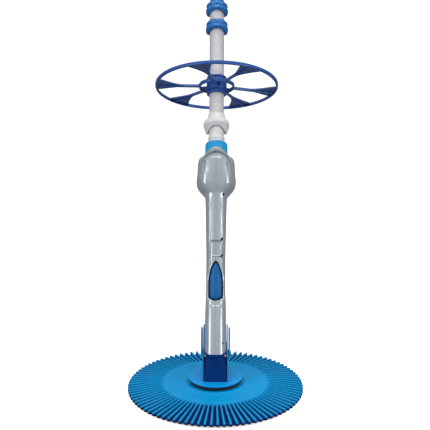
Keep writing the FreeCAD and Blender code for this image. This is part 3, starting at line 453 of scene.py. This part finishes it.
# --- the foot ------------------------------------------------------------------------------------------------


def rounded_box(half_width, front, back, corner, steps=5):
    """A rounded rectangle in plan, front towards -Y."""
    points = []
    corners = ((1, 1, back, 0), (-1, 1, back, 90), (-1, -1, front, 180), (1, -1, front, 270))
    for x_side, y_side, reach, start in corners:
        for step in range(steps + 1):
            angle = math.radians(start + 90 * step / steps)
            points.append((
                x_side * (half_width - corner) + corner * math.cos(angle),
                y_side * (reach - corner) + corner * math.sin(angle),
            ))
    return points


def make_foot():
    """The round flange with its square throat and column socket, a black ring below it that is painted shadow
    in the gap under the flange, and the column.
    """
    low, high = span("foot_column")
    flange_high = span("foot_frame")[1]
    flange = flange_high.x
    top = flange_high.z
    under = top - 6
    lip = top - 3.4
    half = high.x
    frame_profile = filleted([
        (28, 12), (40, 12), (40, under), (flange - 6, under), (flange - 5, lip), (flange, lip), (flange, top),
        (28, top),
    ], 1.2, 4)

    throat_half_width = 19
    throat_half_depth = 27

    def square_hole(radius, height, angle):
        if radius > 29.5:
            return radius, height
        across = throat_half_width / max(abs(math.cos(angle)), 1e-6)
        along = throat_half_depth / max(abs(math.sin(angle)), 1e-6)
        return min(across, along), height

    socket_outer = rounded_box(half + 2.6, 44.2, 44.2, 6.5)
    parts = [lathe(frame_profile, 160, square_hole)]
    rings = []
    for outline, height in (
        (socket_outer, top - 0.5),
        (socket_outer, top + 1.2),
        (rounded_box(half + 2.0, 43.6, 43.6, 6), top + 1.8),
        (rounded_box(half + 0.3, 42.0, 42.0, 5), top + 1.8),
        (rounded_box(half + 0.3, 42.0, 42.0, 5), top - 0.5),
    ):
        rings.append([(x, y, height) for x, y in outline])
    parts.append(strip(rings, closed_run=True))
    make_piece("foot_flange", parts, LIGHT_BLUE, "cleaner_body", ["foot_frame"])
    # painted shadow: a black ring put in the gap under the flange's edge, where there is only shade
    shadow_profile = filleted([
        (54.5, 23.4), (60.5, 23.4), (60.5, lip - 0.2), (57.7, lip - 0.2), (54.5, 28.8),
    ], 0.6, 2)
    make_piece("flange_shadow_ring", [lathe(shadow_profile, 144)], BLACK_AND_PAINTED_SHADE, "cleaner_body")

    column_top = high.z
    foot_reach = 41.5
    front = -low.y
    back = high.y
    levels = [
        (top, 0.6), (top + 0.6, 0.0), (top + 12, 0.0), (top + 24, 0.0), (top + 36, 0.0), (top + 48, 0.0),
        (top + 56, 0.0), (column_top - 7.6, 0.0), (column_top - 7.0, -0.45), (column_top - 6.4, -0.6),
        (column_top - 1.4, -0.6), (column_top - 0.5, -0.3), (column_top, 0.3), (column_top, 2.4),
        (column_top - 1, 3.0), (top, 3.0),
    ]
    rings = []
    for height, inset in levels:
        share = (height - top) / (column_top - top)
        fore = foot_reach + (front - foot_reach) * share - inset
        aft = foot_reach + (back - foot_reach) * share - inset
        square = 9.0 - 5.6 * smoothstep(0.0, 1.0, share) ** 0.8
        rings.append([(x, y, height) for x, y in squared_oval(half - inset, fore, aft, square)])
    parts = [strip(rings, closed_run=True)]
    make_piece("upright_column", parts, DARK_BLUE, "cleaner_body", ["foot_column"])


def squared_oval(half_width, front, back, square, count=96):
    """A superellipse in plan, front towards -Y, with its own reach in front and behind."""
    points = []
    for number in range(count):
        turn = 2 * math.pi * (number + 0.5) / count
        across = math.copysign(abs(math.cos(turn)) ** (2 / square), math.cos(turn))
        along = math.copysign(abs(math.sin(turn)) ** (2 / square), math.sin(turn))
        points.append((half_width * across, (back if along > 0 else front) * along))
    return points


def make_cheeks():
    """A tall inner plate and a shorter outer plate on each side, joined by a low web."""
    column_depth = 83.0
    half_depth = column_depth / 2
    foot_top = span("foot_column")[1].z
    flange_top = span("foot_frame")[1].z
    for side, name in ((-1, "left"), (1, "right")):
        low, high = span(f"{name}_cheek")
        near = min(abs(low.x), abs(high.x))
        far = max(abs(low.x), abs(high.x))
        top = high.z
        inner = filleted([
            (-half_depth + 4, flange_top), (half_depth - 4, flange_top), (half_depth + 14, foot_top),
            (half_depth + 20, top - 8), (half_depth + 13, top), (half_depth - 16, top),
            (half_depth - 36, foot_top), (-half_depth + 4, foot_top - 6),
        ], 5, 5)
        outer = filleted([
            (-half_depth + 36, 80), (half_depth + 6, 80), (half_depth + 17, top - 15),
            (half_depth + 10, top - 7), (half_depth - 14, top - 7),
        ], 5, 5)
        web = filleted([
            (-half_depth + 37, 80), (half_depth - 3, 80), (half_depth - 3, 84), (-half_depth + 39, 84),
        ], 1, 2)
        upright = Matrix(((0, 0, 1, 0), (1, 0, 0, 0), (0, 1, 0, 0), (0, 0, 0, 1)))
        over = filleted([
            (-half_depth + 33, foot_top + 0.3), (half_depth + 13, foot_top + 0.3), (half_depth + 18, top - 9),
            (half_depth + 12, top - 1.5), (half_depth - 15, top - 1.5),
        ], 4, 4)
        spans = (
            (inner, near, near + 2.0, 0.6),
            (over, 25.9, near + 0.6, 0.3),
            (outer, far - 4.4, far, 1.4),
            (web, near + 0.5, far - 0.5, 0.3),
        )
        parts = []
        for outline, start, end, edge in spans:
            first, last = (start, end) if side > 0 else (-end, -start)
            parts.append(prism(outline, first, last, edge, upright, 3))
        make_piece(f"{name}_guard", parts, LIGHT_BLUE, "cleaner_body", [f"{name}_cheek"])


def make_foot_screws():
    """Domed brass pins in the column's corners, each ringed by a black collar that stands for the shade in the
    pin's pocket.
    """
    low, high = span("foot_screws")
    radius = (high.z - low.z) / 2
    height = (high.z + low.z) / 2
    across = high.x - radius
    pins = []
    shade_rings = []
    for side in (-1, 1):
        head_profile = [
            (0.45, 0.0), (radius, 0.0), (radius, 6.6), (radius * 0.8, 7.1), (radius * 0.45, 7.4), (0.45, 7.3),
        ]
        # painted shade: a black collar round each pin stands for the shade in its pocket
        shade_ring_profile = [(radius + 0.15, 1.0), (radius + 0.9, 1.0), (radius + 0.9, 6.0), (radius + 0.15, 6.0)]
        core = prism([(-0.5, -0.5), (0.5, -0.5), (0.5, 0.5), (-0.5, 0.5)], 0.0, 6.9)
        matrix = Matrix.Translation((side * across, high.y, height)) @ Matrix.Rotation(math.radians(90), 4, "X")
        pins.append(placed(lathe(head_profile, 28), matrix))
        pins.append(placed(core, matrix))
        shade_rings.append(placed(lathe(shade_ring_profile, 28), matrix))
    make_piece("brass_screws", pins, BRASS, "cleaner_body", ["foot_screws"])
    make_piece("screw_shade_rings", shade_rings, BLACK_AND_PAINTED_SHADE, "cleaner_body")


# --- the body ------------------------------------------------------------------------------------------------

BODY_TOP = 500.0
WALL = 2.5
SLOT_LOW = 122.0
SLOT_HIGH = 217.0
SLOT_HALF = 17.0
HOOP_RADIUS = 30.0
HOOP_DROP = 18.0
SADDLE_START = 474.0
SHELL_SHARP = 34
# station up the axis, half width, reach in front, reach behind, squareness
BODY_STATIONS = [
    (-26, 25.6, 46, 44, 3.4),
    (60, 25.2, 43.5, 41.5, 3.4),
    (118, 24.2, 38.6, 35.2, 3.3),
    (150, 23.1, 37.2, 33.4, 3.2),
    (222, 23.0, 37, 33, 3.1),
    (310, 24.6, 37, 33, 2.9),
    (370, 26.0, 37.4, 33.4, 2.8),
    (381, 27.0, 38, 34.2, 2.8),
    (389, 33.5, 40, 36, 2.7),
    (398, 41.5, 42.5, 39, 2.6),
    (408, 46.6, 44.6, 42, 2.5),
    (419, 48.0, 46, 44, 2.4),
    (434, 46.4, 47.6, 45.6, 2.4),
    (448, 45.6, 48.6, 46.6, 2.4),
    (462, 45.0, 48.6, 46.4, 2.4),
    (475, 42.2, 45.8, 44, 2.3),
    (484, 38.0, 41.0, 39.6, 2.2),
    (491, 34.0, 36.4, 35.6, 2.1),
    (496, 31.6, 32.6, 32.2, 2.0),
    (500, 31.0, 31, 31, 2.0),
]


def body_section(at):
    """Half width, front reach, back reach and squareness at a station, on a curve that never overshoots."""
    stations = BODY_STATIONS
    at = min(max(at, stations[0][0]), stations[-1][0])
    index = max(number for number, row in enumerate(stations[:-1]) if row[0] <= at)
    low, high = stations[index], stations[index + 1]
    gap = high[0] - low[0]
    share = (at - low[0]) / gap
    values = []
    for column in range(1, 5):
        here = (high[column] - low[column]) / gap
        before = here
        after = here
        if index > 0:
            previous = stations[index - 1]
            before = (low[column] - previous[column]) / (low[0] - previous[0])
        if index + 2 < len(stations):
            following = stations[index + 2]
            after = (following[column] - high[column]) / (following[0] - high[0])
        start_slope = 0.0 if before * here <= 0 else 2 * before * here / (before + here)
        end_slope = 0.0 if after * here <= 0 else 2 * after * here / (after + here)
        squared, cubed = share * share, share**3
        values.append(
            (2 * cubed - 3 * squared + 1) * low[column]
            + (cubed - 2 * squared + share) * gap * start_slope
            + (3 * squared - 2 * cubed) * high[column]
            + (cubed - squared) * gap * end_slope
        )
    return values


def slot_half(at, gap=0.0):
    """Half the slot's width at a station: a round bottom, straight flanks and a narrow rounded top."""
    low = SLOT_LOW + gap
    high = SLOT_HIGH - 1.5 * gap
    half = SLOT_HALF - gap
    if at <= low or at >= high:
        return 0.0
    shoulder = low + 0.42 * (high - low)
    foot = 13.0
    if at < low + foot:
        return half * (1 - ((low + foot - at) / foot) ** 2.3) ** (1 / 2.3)
    if at <= shoulder:
        return half
    share = (at - shoulder) / (high - shoulder)
    return half * (1 - share**2.0) ** 0.62


def head_relief(side, at):
    """The hollow between the hoop and the raised spine, with the thin rib that crosses it at the top."""
    rise = max(0.0, at - 450.0) / 50.0
    reach = math.hypot(side / 45.6, rise)
    inside_hoop = 1 - smoothstep(0.76, 0.85, reach)
    spine_half = 25.5 + 25.0 * (1 - smoothstep(408, 440, at))
    spine_top = 473.0 - 0.011 * side**2
    spine = (1 - smoothstep(0, 3.6, side - spine_half)) * (1 - smoothstep(-1.5, 2.2, at - spine_top))
    rib = (1 - smoothstep(0.9, 1.7, side)) * smoothstep(466, 472, at)
    floor = 9.5 - 3.0 * smoothstep(26, 40, side)
    return floor * inside_hoop * (1 - spine) * (1 - rib) * smoothstep(414, 430, at)


def relief(x, at):
    """How far the front is set back at a place: head, stem channel, the slot's dish and the lower panel."""
    side = abs(x)
    depth = head_relief(side, at) if at > 410 else 0.0
    crown = smoothstep(360, 384, at) * (1 - smoothstep(404, 470, at))
    depth -= 2.4 * crown * math.exp(-((side - 30.0) / 9.0) ** 2)
    channel = (1 - smoothstep(11.2, 13.6, side)) * smoothstep(186, 200, at) * (1 - smoothstep(262, 267, at))
    dish_half = slot_half(at, -3.6)
    dish = 1 - smoothstep(dish_half - 3.4, dish_half + 0.8, side) if dish_half else 0.0
    depth += max(4.2 * channel, 3.2 * dish)
    groove = smoothstep(10.8, 12.0, side) * (1 - smoothstep(13.8, 15.4, side))
    depth += 1.5 * groove * smoothstep(256, 272, at) * (1 - smoothstep(352, 384, at))
    panel = (1 - smoothstep(17.6, 19.6, side)) * (1 - smoothstep(106.5, 111.5, at))
    return depth - 1.8 * panel


def body_point(at, turn, inset):
    """A point of the body's skin: turn runs from 0 at the front seam to pi at the back seam, on the +X side."""
    half, front, back, square = body_section(at)
    power = 2 / square
    across = abs(math.sin(turn)) ** power
    along = abs(math.cos(turn)) ** power
    x = (half - inset) * across
    if math.cos(turn) > 0:
        return x, -(front - inset) * along + relief(half * across, at) * min(1.0, along * 2.2)
    return x, (back - inset) * along


def station_rows():
    rows = []
    at = -26.0
    while at < BODY_TOP - 0.01:
        rows.append(at)
        fine = SLOT_LOW - 18 < at < SLOT_LOW + 16 or SLOT_HIGH - 14 < at < SLOT_HIGH + 6 or 260 < at < 269
        at += 0.9 if fine else (1.5 if at > 364 else 3.5)
    rows.append(BODY_TOP)
    return rows


def saddled(x, at):
    """A station drawn down so that the head's open top is high in front and behind, and low beside the nut."""
    if at <= SADDLE_START:
        return at
    top = BODY_TOP - HOOP_RADIUS + math.sqrt(max(HOOP_RADIUS**2 - x * x, (HOOP_RADIUS - HOOP_DROP) ** 2))
    return SADDLE_START + (at - SADDLE_START) * (top - SADDLE_START) / (BODY_TOP - SADDLE_START)


def shell_half(side):
    """One half shell with its wall, its seam faces and the slot's edge, over the whole of the leaning axis."""
    columns = 96
    rings = []
    for at in station_rows():
        half, _, _, square = body_section(at)
        opening = slot_half(at)
        start = math.asin(min(1.0, (opening / half)) ** (square / 2)) if opening else 0.0
        outer = []
        inner = []
        for column in range(columns + 1):
            share = column / columns
            turn = start + (math.pi - start) * share
            x, y = body_point(at, turn, 0.0)
            ease = 0.45
            if column == 0:
                x, y = x + 0.12, y + ease
            if column == columns:
                x, y = x + 0.12, y - ease
            outer.append(Vector((side * max(x, 0.12), y, saddled(x, at))))
            x, y = body_point(at, turn, WALL)
            x = max(x, opening + 0.1, 0.12)
            inner.append(Vector((side * x, y, saddled(x, at))))
        outer.insert(1, outer[0].lerp(outer[1], 0.2) + Vector((0, -ease * 0.8, 0)))
        inner.insert(1, inner[0].lerp(inner[1], 0.2))
        rings.append(outer + inner[::-1])
    return strip(rings, caps=True)


def make_shells():
    """The two half shells, trimmed level with the foot's top, with the nut's hole in the head."""
    foot_top = span("foot_column")[1].z
    for side, name in ((-1, "left"), (1, "right")):
        parts = [shell_half(side), collar_arch(side)]
        node = f"{name}_body_shell"
        piece = make_piece(
            f"{name}_shell", parts, SHELL_GREY, "cleaner_body", [node], LEANING, SHELL_SHARP
        )
        trim_level(piece, foot_top * MM)
        if side > 0:
            drill_screws(piece)


def collar_arch(side):
    """Half of the hoop's rounded lip round the nut: high in front and behind, low at the sides."""
    rings = []
    steps = 48
    for step in range(steps + 1):
        turn = math.pi * step / steps
        inside = 28.2
        height = 486.0 + 15.5 * abs(math.cos(turn)) ** 3.3
        section = filleted([
            (inside, height - 12), (inside + 6.5, height - 14), (inside + 5.2, height - 3.5),
            (inside + 2.6, height), (inside, height),
        ], 1.6, 3)
        across, along = math.sin(turn), -math.cos(turn)
        rings.append([(side * max(radius * across, 0.12), radius * along, at) for radius, at in section])
    return strip(rings, caps=True)


def trim_level(piece, height):
    """Cuts away what is lower than a level plane and closes the cut."""
    work = bmesh.new()
    work.from_mesh(piece.data)
    everything = list(work.verts) + list(work.edges) + list(work.faces)
    level = (0, 0, height)
    upward = (0, 0, 1)
    cut = bmesh.ops.bisect_plane(
        work, geom=everything, plane_co=level, plane_no=upward, clear_inner=True, dist=1e-6
    )
    edges = [item for item in cut["geom_cut"] if isinstance(item, bmesh.types.BMEdge)]
    bmesh.ops.holes_fill(work, edges=edges)
    bmesh.ops.recalc_face_normals(work, faces=work.faces)
    work.to_mesh(piece.data)
    work.free()
    piece.data.set_sharp_from_angle(angle=math.radians(SHELL_SHARP))


def drill_screws(piece):
    """Round recesses over the body screws, cut in from the right side."""
    pocket_radius = 3.7
    pocket_start = 9.0
    pocket_end = 40.0
    groups = {}
    back = LEANING.inverted()
    for vertex in frame["nodes"]["body_screws"].data.vertices:
        spot = (back @ vertex.co) / MM
        groups.setdefault(round(spot.z / 12), []).append(spot)
    spots = []
    for number in sorted(groups):
        if spots and number - spots[-1][0] == 1:
            spots[-1][1].extend(groups[number])
        else:
            spots.append([number, list(groups[number])])
    cutters = []
    for _, points in spots:
        y = (min(p.y for p in points) + max(p.y for p in points)) / 2
        z = (min(p.z for p in points) + max(p.z for p in points)) / 2
        path = [Vector((pocket_start, y, z)), Vector((pocket_end, y, z))]
        cutters.append(tube(path, [pocket_radius, pocket_radius], 28))
    mesh = bpy.data.meshes.new("screw_cutter")
    vertices, faces = [], []
    for part_vertices, part_faces in cutters:
        start = len(vertices)
        vertices.extend(tuple(v) for v in part_vertices)
        faces.extend(tuple(i + start for i in face) for face in part_faces)
    mesh.from_pydata(vertices, [], faces)
    mesh.transform(LEANING @ Matrix.Scale(MM, 4))
    cutter = bpy.data.objects.new("screw_cutter", mesh)
    bpy.context.scene.collection.objects.link(cutter)
    bore = piece.modifiers.new("screws", "BOOLEAN")
    bore.operation = "DIFFERENCE"
    bore.object = cutter
    bore.solver = "MANIFOLD"
    graph = bpy.context.evaluated_depsgraph_get()
    result = bpy.data.meshes.new_from_object(piece.evaluated_get(graph))
    piece.modifiers.clear()
    piece.data = result
    bpy.data.objects.remove(cutter)


def make_insert():
    """The bullet-shaped insert, bulging through the slot."""
    front = -span("slot_insert", LEANING)[0].y
    gap = 2.6
    rings = []
    start = SLOT_LOW + gap
    end = SLOT_HIGH - 1.5 * gap
    count = 64
    for step in range(count + 1):
        share = step / count
        at = start + (end - start) * (0.5 - 0.5 * math.cos(math.pi * share))
        at = min(max(at, start + 0.02), end - 0.05)
        half = max(slot_half(at, gap), 0.05)
        bulge = math.sqrt(min(1.0, half / (SLOT_HALF - gap)))
        ring = []
        for column in range(25):
            turn = math.radians(-90 + 180 * column / 24)
            x = half * math.sin(turn)
            y = -(front - 9.0 * (1 - bulge)) + 8.0 * (1 - math.cos(turn)) * bulge + 0.6 * (1 - bulge)
            ring.append((x, y, at))
        depth = -front + 20
        ring += [(half, depth, at), (0, depth, at), (-half, depth, at)]
        rings.append(ring)
    parts = [strip(rings, caps=True)]
    make_piece("slot_cover", parts, INSERT_BLUE, "cleaner_body", ["slot_insert"], LEANING, 50)


# --- the nut and the pipe ------------------------------------------------------------------------------------


def make_nut():
    """A grip ring with upright lugs and a rounded shoulder."""
    low, high = span("hand_nut", LEANING)
    lugs = 18
    outer = high.x
    profile = filleted([
        (24.8, low.z), (outer, low.z), (outer, high.z - 4.5), (outer - 2.6, high.z), (19.95, high.z),
        (19.95, high.z - 8), (24.8, high.z - 8),
    ], 1.1, 3)

    def lugged(radius, height, angle):
        wave = smoothstep(-0.35, 0.25, math.cos(lugs * angle))
        if radius < outer - 3.2:
            return radius, height
        return radius - 1.7 * (1 - wave) * smoothstep(low.z + 0.6, low.z + 2.2, height), height

    parts = [lathe(profile, lugs * 12, lugged)]
    make_piece("grip_nut", parts, NUT_BLUE, "nut", ["hand_nut"], LEANING)


def make_pipe():
    """The white pipe with its lip and a shallow step where the cuff stops."""
    low, high = span("outer_pipe", LEANING)
    radius = 19.5
    bore = 16.5
    collar = 506.4
    lip = 527.0
    profile = filleted([
        (bore, low.z), (radius, low.z), (radius, collar), (23, collar), (23, collar + 3.5),
        (radius, collar + 3.5), (radius, lip), (radius + 1.1, lip + 1), (radius + 1.1, lip + 4.6),
        (radius - 0.2, lip + 7), (radius - 0.2, high.z), (bore, high.z),
    ], 0.5, 2)
    parts = [lathe(profile, 96)]
    make_piece("swivel_pipe", parts, WHITE, "hose_line", ["outer_pipe"], LEANING)


# --- the hose and what is on it ------------------------------------------------------------------------------


def make_cuff():
    """The hose-end cuff: a bell whose mouth is arched in front and behind."""
    low, high = span("hose_end_cuff", LEANING)
    outer = high.x
    base = low.z
    top = high.z
    profile = filleted([
        (21.6, base), (25.0, base), (26.6, base + 4), (outer - 3.4, base + 12), (outer - 0.8, base + 18),
        (outer, base + 24), (outer - 0.5, base + 29), (outer - 3.4, base + 35), (outer - 7.6, base + 39),
        (22.6, base + 42), (21.2, base + 46), (20.5, top - 1), (20.1, top), (18.5, top), (18.5, base + 36),
        (20.6, base + 36), (21.4, base + 8),
    ], 1.2, 3)
    waist = base + 32

    def arched(radius, height, angle):
        if height >= waist:
            return radius, height
        notch = 17.0 * abs(math.sin(angle)) ** 1.3
        share = (waist - height) / (waist - base)
        return radius, height + notch * share**1.3

    parts = [lathe(profile, 128, arched)]
    make_piece("white_cuff", parts, WHITE, "hose_line", ["hose_end_cuff"], LEANING)


def make_blue_cuffs():
    """Two couplings, each with a broad lower band, a waist and a narrower upper band."""
    for name, node in (("lower_coupling", "lower_blue_cuff"), ("upper_coupling", "upper_blue_cuff")):
        low, high = span(node, LEANING)
        base = low.z
        outer = high.x
        shoulder = base + 34
        seat = base + 21.5
        tail = []
        if high.z > shoulder + 5:
            tail = [(17.4, shoulder - 0.5), (17.4, high.z - 1), (16.6, high.z), (14.5, high.z), (14.5, seat)]
        inner = [(18.4, seat), (18.4, base + 2)] if tail else [(18.4, shoulder), (18.4, base + 2)]
        outline = [
            (21.6, base), (24.4, base), (outer - 1.6, base + 3.0), (outer - 0.2, base + 8), (outer, base + 12),
            (outer - 0.6, base + 16), (outer - 2.2, base + 18.6), (outer - 3.2, base + 20.2),
            (outer - 1.7, base + 21.8), (outer - 1.0, base + 24.6), (outer - 1.8, base + 28),
            (outer - 4.0, base + 30.4), (outer - 5.4, base + 32.2), (outer - 7.2, shoulder - 0.4),
        ]
        profile = filleted(outline + tail + inner, 0.9, 3)

        def scalloped(radius, height, angle):
            arch = 7.0 * abs(math.sin(angle)) ** 1.5 * (1 - smoothstep(base, base + 14, height))
            return radius, height + arch if height < base + 14 else height

        make_piece(name, [lathe(profile, 128, scalloped)], CUFF_BLUE, "hose_line", [node], LEANING)


HOSE_LOW = 576.0
HOSE_HIGH = 881.5


def make_hose():
    """The ribbed hose: one straight run up the leaning axis, held taut, from the cuff to the last coupling."""
    route = [(0.0, 0.0, HOSE_LOW), (0.0, 0.0, HOSE_HIGH)]
    curve = bpy.data.curves.new("hose_route", "CURVE")
    curve.dimensions = "3D"
    spline = curve.splines.new("NURBS")
    spline.points.add(len(route) - 1)
    for point, spot in zip(spline.points, route):
        point.co = (*(LEANING @ (Vector(spot) * MM)), 1)
    spline.order_u = 3
    spline.use_endpoint_u = True
    guide = bpy.data.objects.new("hose_route", curve)
    line_mesh = bpy.data.meshes.new_from_object(guide)
    line = [vertex.co.copy() for vertex in line_mesh.vertices]
    bpy.data.meshes.remove(line_mesh)
    bpy.data.objects.remove(guide)
    start, end = line[0], line[-1]
    outer = span("leader_hose", LEANING)[1].x
    bore = 15.5
    pitch = 4.1
    length = (end - start).length / MM
    ribs = round(length / pitch)
    steps_per_rib = 8
    profile = []
    for step in range(ribs * steps_per_rib + 1):
        wave = 0.5 + 0.5 * math.cos(2 * math.pi * step / steps_per_rib)
        profile.append((outer - 1.3 * (1 - wave**0.7), length * step / (ribs * steps_per_rib)))
    for step in range(20, -1, -1):
        profile.append((bore, length * step / 20))
    upward = (end - start).normalized()
    turn = Vector((0, 0, 1)).rotation_difference(upward).to_matrix().to_4x4()
    matrix = Matrix.Translation(start) @ turn
    hose = make_piece("ribbed_hose", [lathe(profile, 80)], HOSE_WHITE, "hose_line",
                      ["leader_hose", "link_hose"], matrix, 70)


def make_hub():
    """Two clamped half sleeves with end flanges, the split between them, a hinge bead and a latch."""
    low, high = span("left_hub_half", LEANING)
    flange = span("right_hub_half", LEANING)[1].x
    base, top = low.z, high.z
    profile = filleted([
        (18.45, base), (flange, base), (flange, base + 3), (22.0, base + 4), (22.0, top - 4), (flange, top - 3),
        (flange, top), (18.45, top),
    ], 0.7, 3)

    def split(radius, height, angle):
        seam = abs(math.sin(angle - math.radians(78)))
        return radius - 0.9 * (1 - smoothstep(0.0, 0.045, seam)) * (radius > 19.5), height

    parts = [lathe(profile, 180, split)]
    stand = Matrix(((0, 0, 1, 0), (1, 0, 0, 0), (0, 1, 0, 0), (0, 0, 0, 1)))
    pad_half = 4.5
    pad_in = 21.2
    pad_out = 21.8 + 2.6 * 0.9
    for angle, height, tall in ((-52, top - 10, 7), (-52, base + 9.5, 6), (128, top - 10, 7)):
        turn = Matrix.Rotation(math.radians(angle), 4, "Z")
        pad = filleted([
            (-pad_half, -tall / 2), (pad_half, -tall / 2), (pad_half, tall / 2), (-pad_half, tall / 2),
        ], 1.2, 3)
        matrix = Matrix.Translation((0, 0, height)) @ turn @ stand
        parts.append(prism(pad, pad_in, pad_out, 0.5, matrix))
    nodes = ["left_hub_half", "right_hub_half"]
    make_piece("hub_collar", parts, ROYAL_BLUE, "hose_line", nodes, LEANING)


def make_wheel():
    """A banded rim, an inner ring, a bearing sleeve and six flared spokes in three pairs."""
    low, high = span("deflector_wheel", LEANING)
    rim = high.x
    level = (low.z + high.z) / 2
    ring = 44.5
    rim_profile = filleted([
        (rim - 6.0, level - 4.1), (rim - 0.6, level - 4.1), (rim, level - 2.4), (rim, level + 3.2),
        (rim - 1.0, level + 4.1), (rim - 3.6, level + 4.1), (rim - 4.0, level - 2.0), (rim - 6.0, level - 2.8),
    ], 0.9, 3)
    parts = [lathe(rim_profile, 240)]
    for inner, outer, half, rounding, fillet_steps, segments in (
        (ring - 4.5, ring, 5, 1.8, 4, 144),
        (22.06, 25, 12, 0.7, 3, 120),
    ):
        corners = [(inner, level - half), (outer, level - half), (outer, level + half), (inner, level + half)]
        parts.append(lathe(filleted(corners, rounding, fillet_steps), segments))
    first_pair = -80.5
    spoke_half_angle = 22.5
    for pair in range(3):
        centre = first_pair - 120 * pair
        for side in (-1, 1):
            parts.append(spoke(centre + side * spoke_half_angle, ring - 2.5, rim - 3.6, level, side))
        parts.append(placed(arm(24.0, ring - 2.0, level), Matrix.Rotation(math.radians(centre), 4, "Z")))
    make_piece("spoked_wheel", parts, ROYAL_BLUE, "wheel", ["deflector_wheel"], LEANING)


def arm(start, end, level):
    outline = filleted([(start, -4.5), (end, -6), (end, 6), (start, 4.5)], 0.8, 2)
    return prism(outline, level - 2.4, level + 2.4, 0.6)


def spoke(angle, start, end, level, side):
    """A deep slim rib at the hub that flares into a thin web at the rim, wider on the pair's outer side."""
    turn = Matrix.Rotation(math.radians(angle), 4, "Z")
    rings = []
    steps = 36
    for step in range(steps + 1):
        share = step / steps
        radius = start + (end - start) * share
        flare = smoothstep(0.18, 1.06, share) ** 1.55
        near = 3.4 + 19.0 * flare
        far = 3.4 + 38.0 * flare
        left, right = (near, far) if side > 0 else (far, near)
        web = 1.3
        rib = 4.1 - 0.6 * share
        slope = 1.5
        edge = 2.0 - 0.6 * share
        section = [
            (-left, -edge), (-left + 1.4, -edge), (-left + 2.0, -web + 0.6), (-slope - 1.2, -web + 0.6),
            (-slope, -rib), (slope, -rib), (slope + 1.2, -web + 0.6), (right - 2.0, -web + 0.6),
            (right - 1.4, -edge), (right, -edge), (right, edge), (right - 1.4, edge), (right - 2.0, web),
            (slope + 1.2, web), (slope, rib), (-slope, rib), (-slope - 1.2, web), (-left + 2.0, web),
            (-left + 1.4, edge), (-left, edge),
        ]
        ring = []
        for across, up in section:
            along = math.sqrt(max(0.0, radius**2 - min(across**2, 0.9 * radius**2)))
            along = radius + (along - radius) * smoothstep(0.7, 1.0, share)
            ring.append(turn @ Vector((along, across, level + up)))
        rings.append(ring)
    return strip(rings, caps=True)


make_disc()
make_foot()
make_cheeks()
make_foot_screws()
make_shells()
make_insert()
make_nut()
make_pipe()
make_cuff()
make_blue_cuffs()
make_hub()
make_wheel()
make_hose()


# --- floor, light and camera ---------------------------------------------------------------------------------


def make_stage():
    """A pale floor that stays white to the camera and throws little light back up, under a soft white sky."""
    mesh = bpy.data.meshes.new("pale_floor")
    half = 60.0
    corners = [(-half, -half, 0), (half, -half, 0), (half, half, 0), (-half, half, 0)]
    mesh.from_pydata(corners, [], [(0, 1, 2, 3)])
    mesh.transform(Matrix.Translation((0, 0, -0.0005)))
    floor = bpy.data.objects.new("pale_floor", mesh)
    bpy.context.scene.collection.objects.link(floor)
    material, nodes, links, shader = material_with("pale_floor")
    rays = nodes.new("ShaderNodeLightPath")
    cloud = noise(nodes, links, 3.0)
    patches = ranged(nodes, links, cloud, 0, 1)
    pale = mix_colours(nodes, links, patches, (0.95, 0.95, 0.95, 1), (0.98, 0.98, 0.98, 1))
    tint = mix_colours(nodes, links, rays.outputs["Is Camera Ray"], (0.24, 0.25, 0.27, 1), pale)
    links.new(tint, shader.inputs["Base Color"])
    shader.inputs["Specular IOR Level"].default_value = 0.1
    shader.inputs["Roughness"].default_value = 0.9
    shader.inputs["Emission Color"].default_value = (1, 1, 1, 1)
    glow = nodes.new("ShaderNodeMath")
    glow.operation = "MULTIPLY"
    glow.inputs[1].default_value = 0.55
    links.new(rays.outputs["Is Camera Ray"], glow.inputs[0])
    links.new(glow.outputs[0], shader.inputs["Emission Strength"])
    mesh.materials.append(material)
    world = bpy.data.worlds.new("soft_white")
    world.use_nodes = True
    nodes, links = world.node_tree.nodes, world.node_tree.links
    sky = nodes["Background"]
    rays = nodes.new("ShaderNodeLightPath")
    coordinates = nodes.new("ShaderNodeTexCoord")
    split = nodes.new("ShaderNodeSeparateXYZ")
    links.new(coordinates.outputs["Generated"], split.inputs["Vector"])
    climb = ranged(nodes, links, split.outputs["Z"], 0.14, 0.72, -0.05, 0.8)
    grey = nodes.new("ShaderNodeCombineColor")
    for socket in grey.inputs[:3]:
        links.new(climb, socket)
    seen = mix_colours(nodes, links, rays.outputs["Is Camera Ray"], grey.outputs[0], (1, 1, 1, 1))
    links.new(seen, sky.inputs["Color"])
    sky.inputs["Strength"].default_value = 1.0
    bpy.context.scene.world = world


def make_light(name, spot, target, power, size):
    light = bpy.data.lights.new(name, "AREA")
    light.energy = power
    light.size = size
    lamp = bpy.data.objects.new(name, light)
    lamp.location = spot
    lamp.rotation_mode = "QUATERNION"
    lamp.rotation_quaternion = (Vector(target) - Vector(spot)).to_track_quat("-Z", "Y")
    bpy.context.scene.collection.objects.link(lamp)


def make_camera():
    data = bpy.data.cameras.new("camera")
    data.sensor_width = 36.0
    data.lens = 85.63
    camera = bpy.data.objects.new("camera", data)
    camera.location = (0.02, -2.2109, 1.0197)
    pitch = 15.1
    camera.rotation_euler = (math.radians(90 - pitch), 0, math.radians(0.544))
    data.clip_start = 0.05
    data.clip_end = 40
    bpy.context.scene.collection.objects.link(camera)
    bpy.context.scene.camera = camera


make_stage()
make_light("left_softbox", (-1.7, -1.3, 1.5), (0, 0.2, 0.45), 27, 0.9)
make_light("right_softbox", (1.7, -1.1, 1.3), (0, 0.2, 0.45), 22, 0.8)
make_light("top_softbox", (0.0, 0.1, 2.6), (0, 0.1, 0.2), 20, 1.2)
make_camera()
bpy.context.scene.view_settings.view_transform = "Standard"
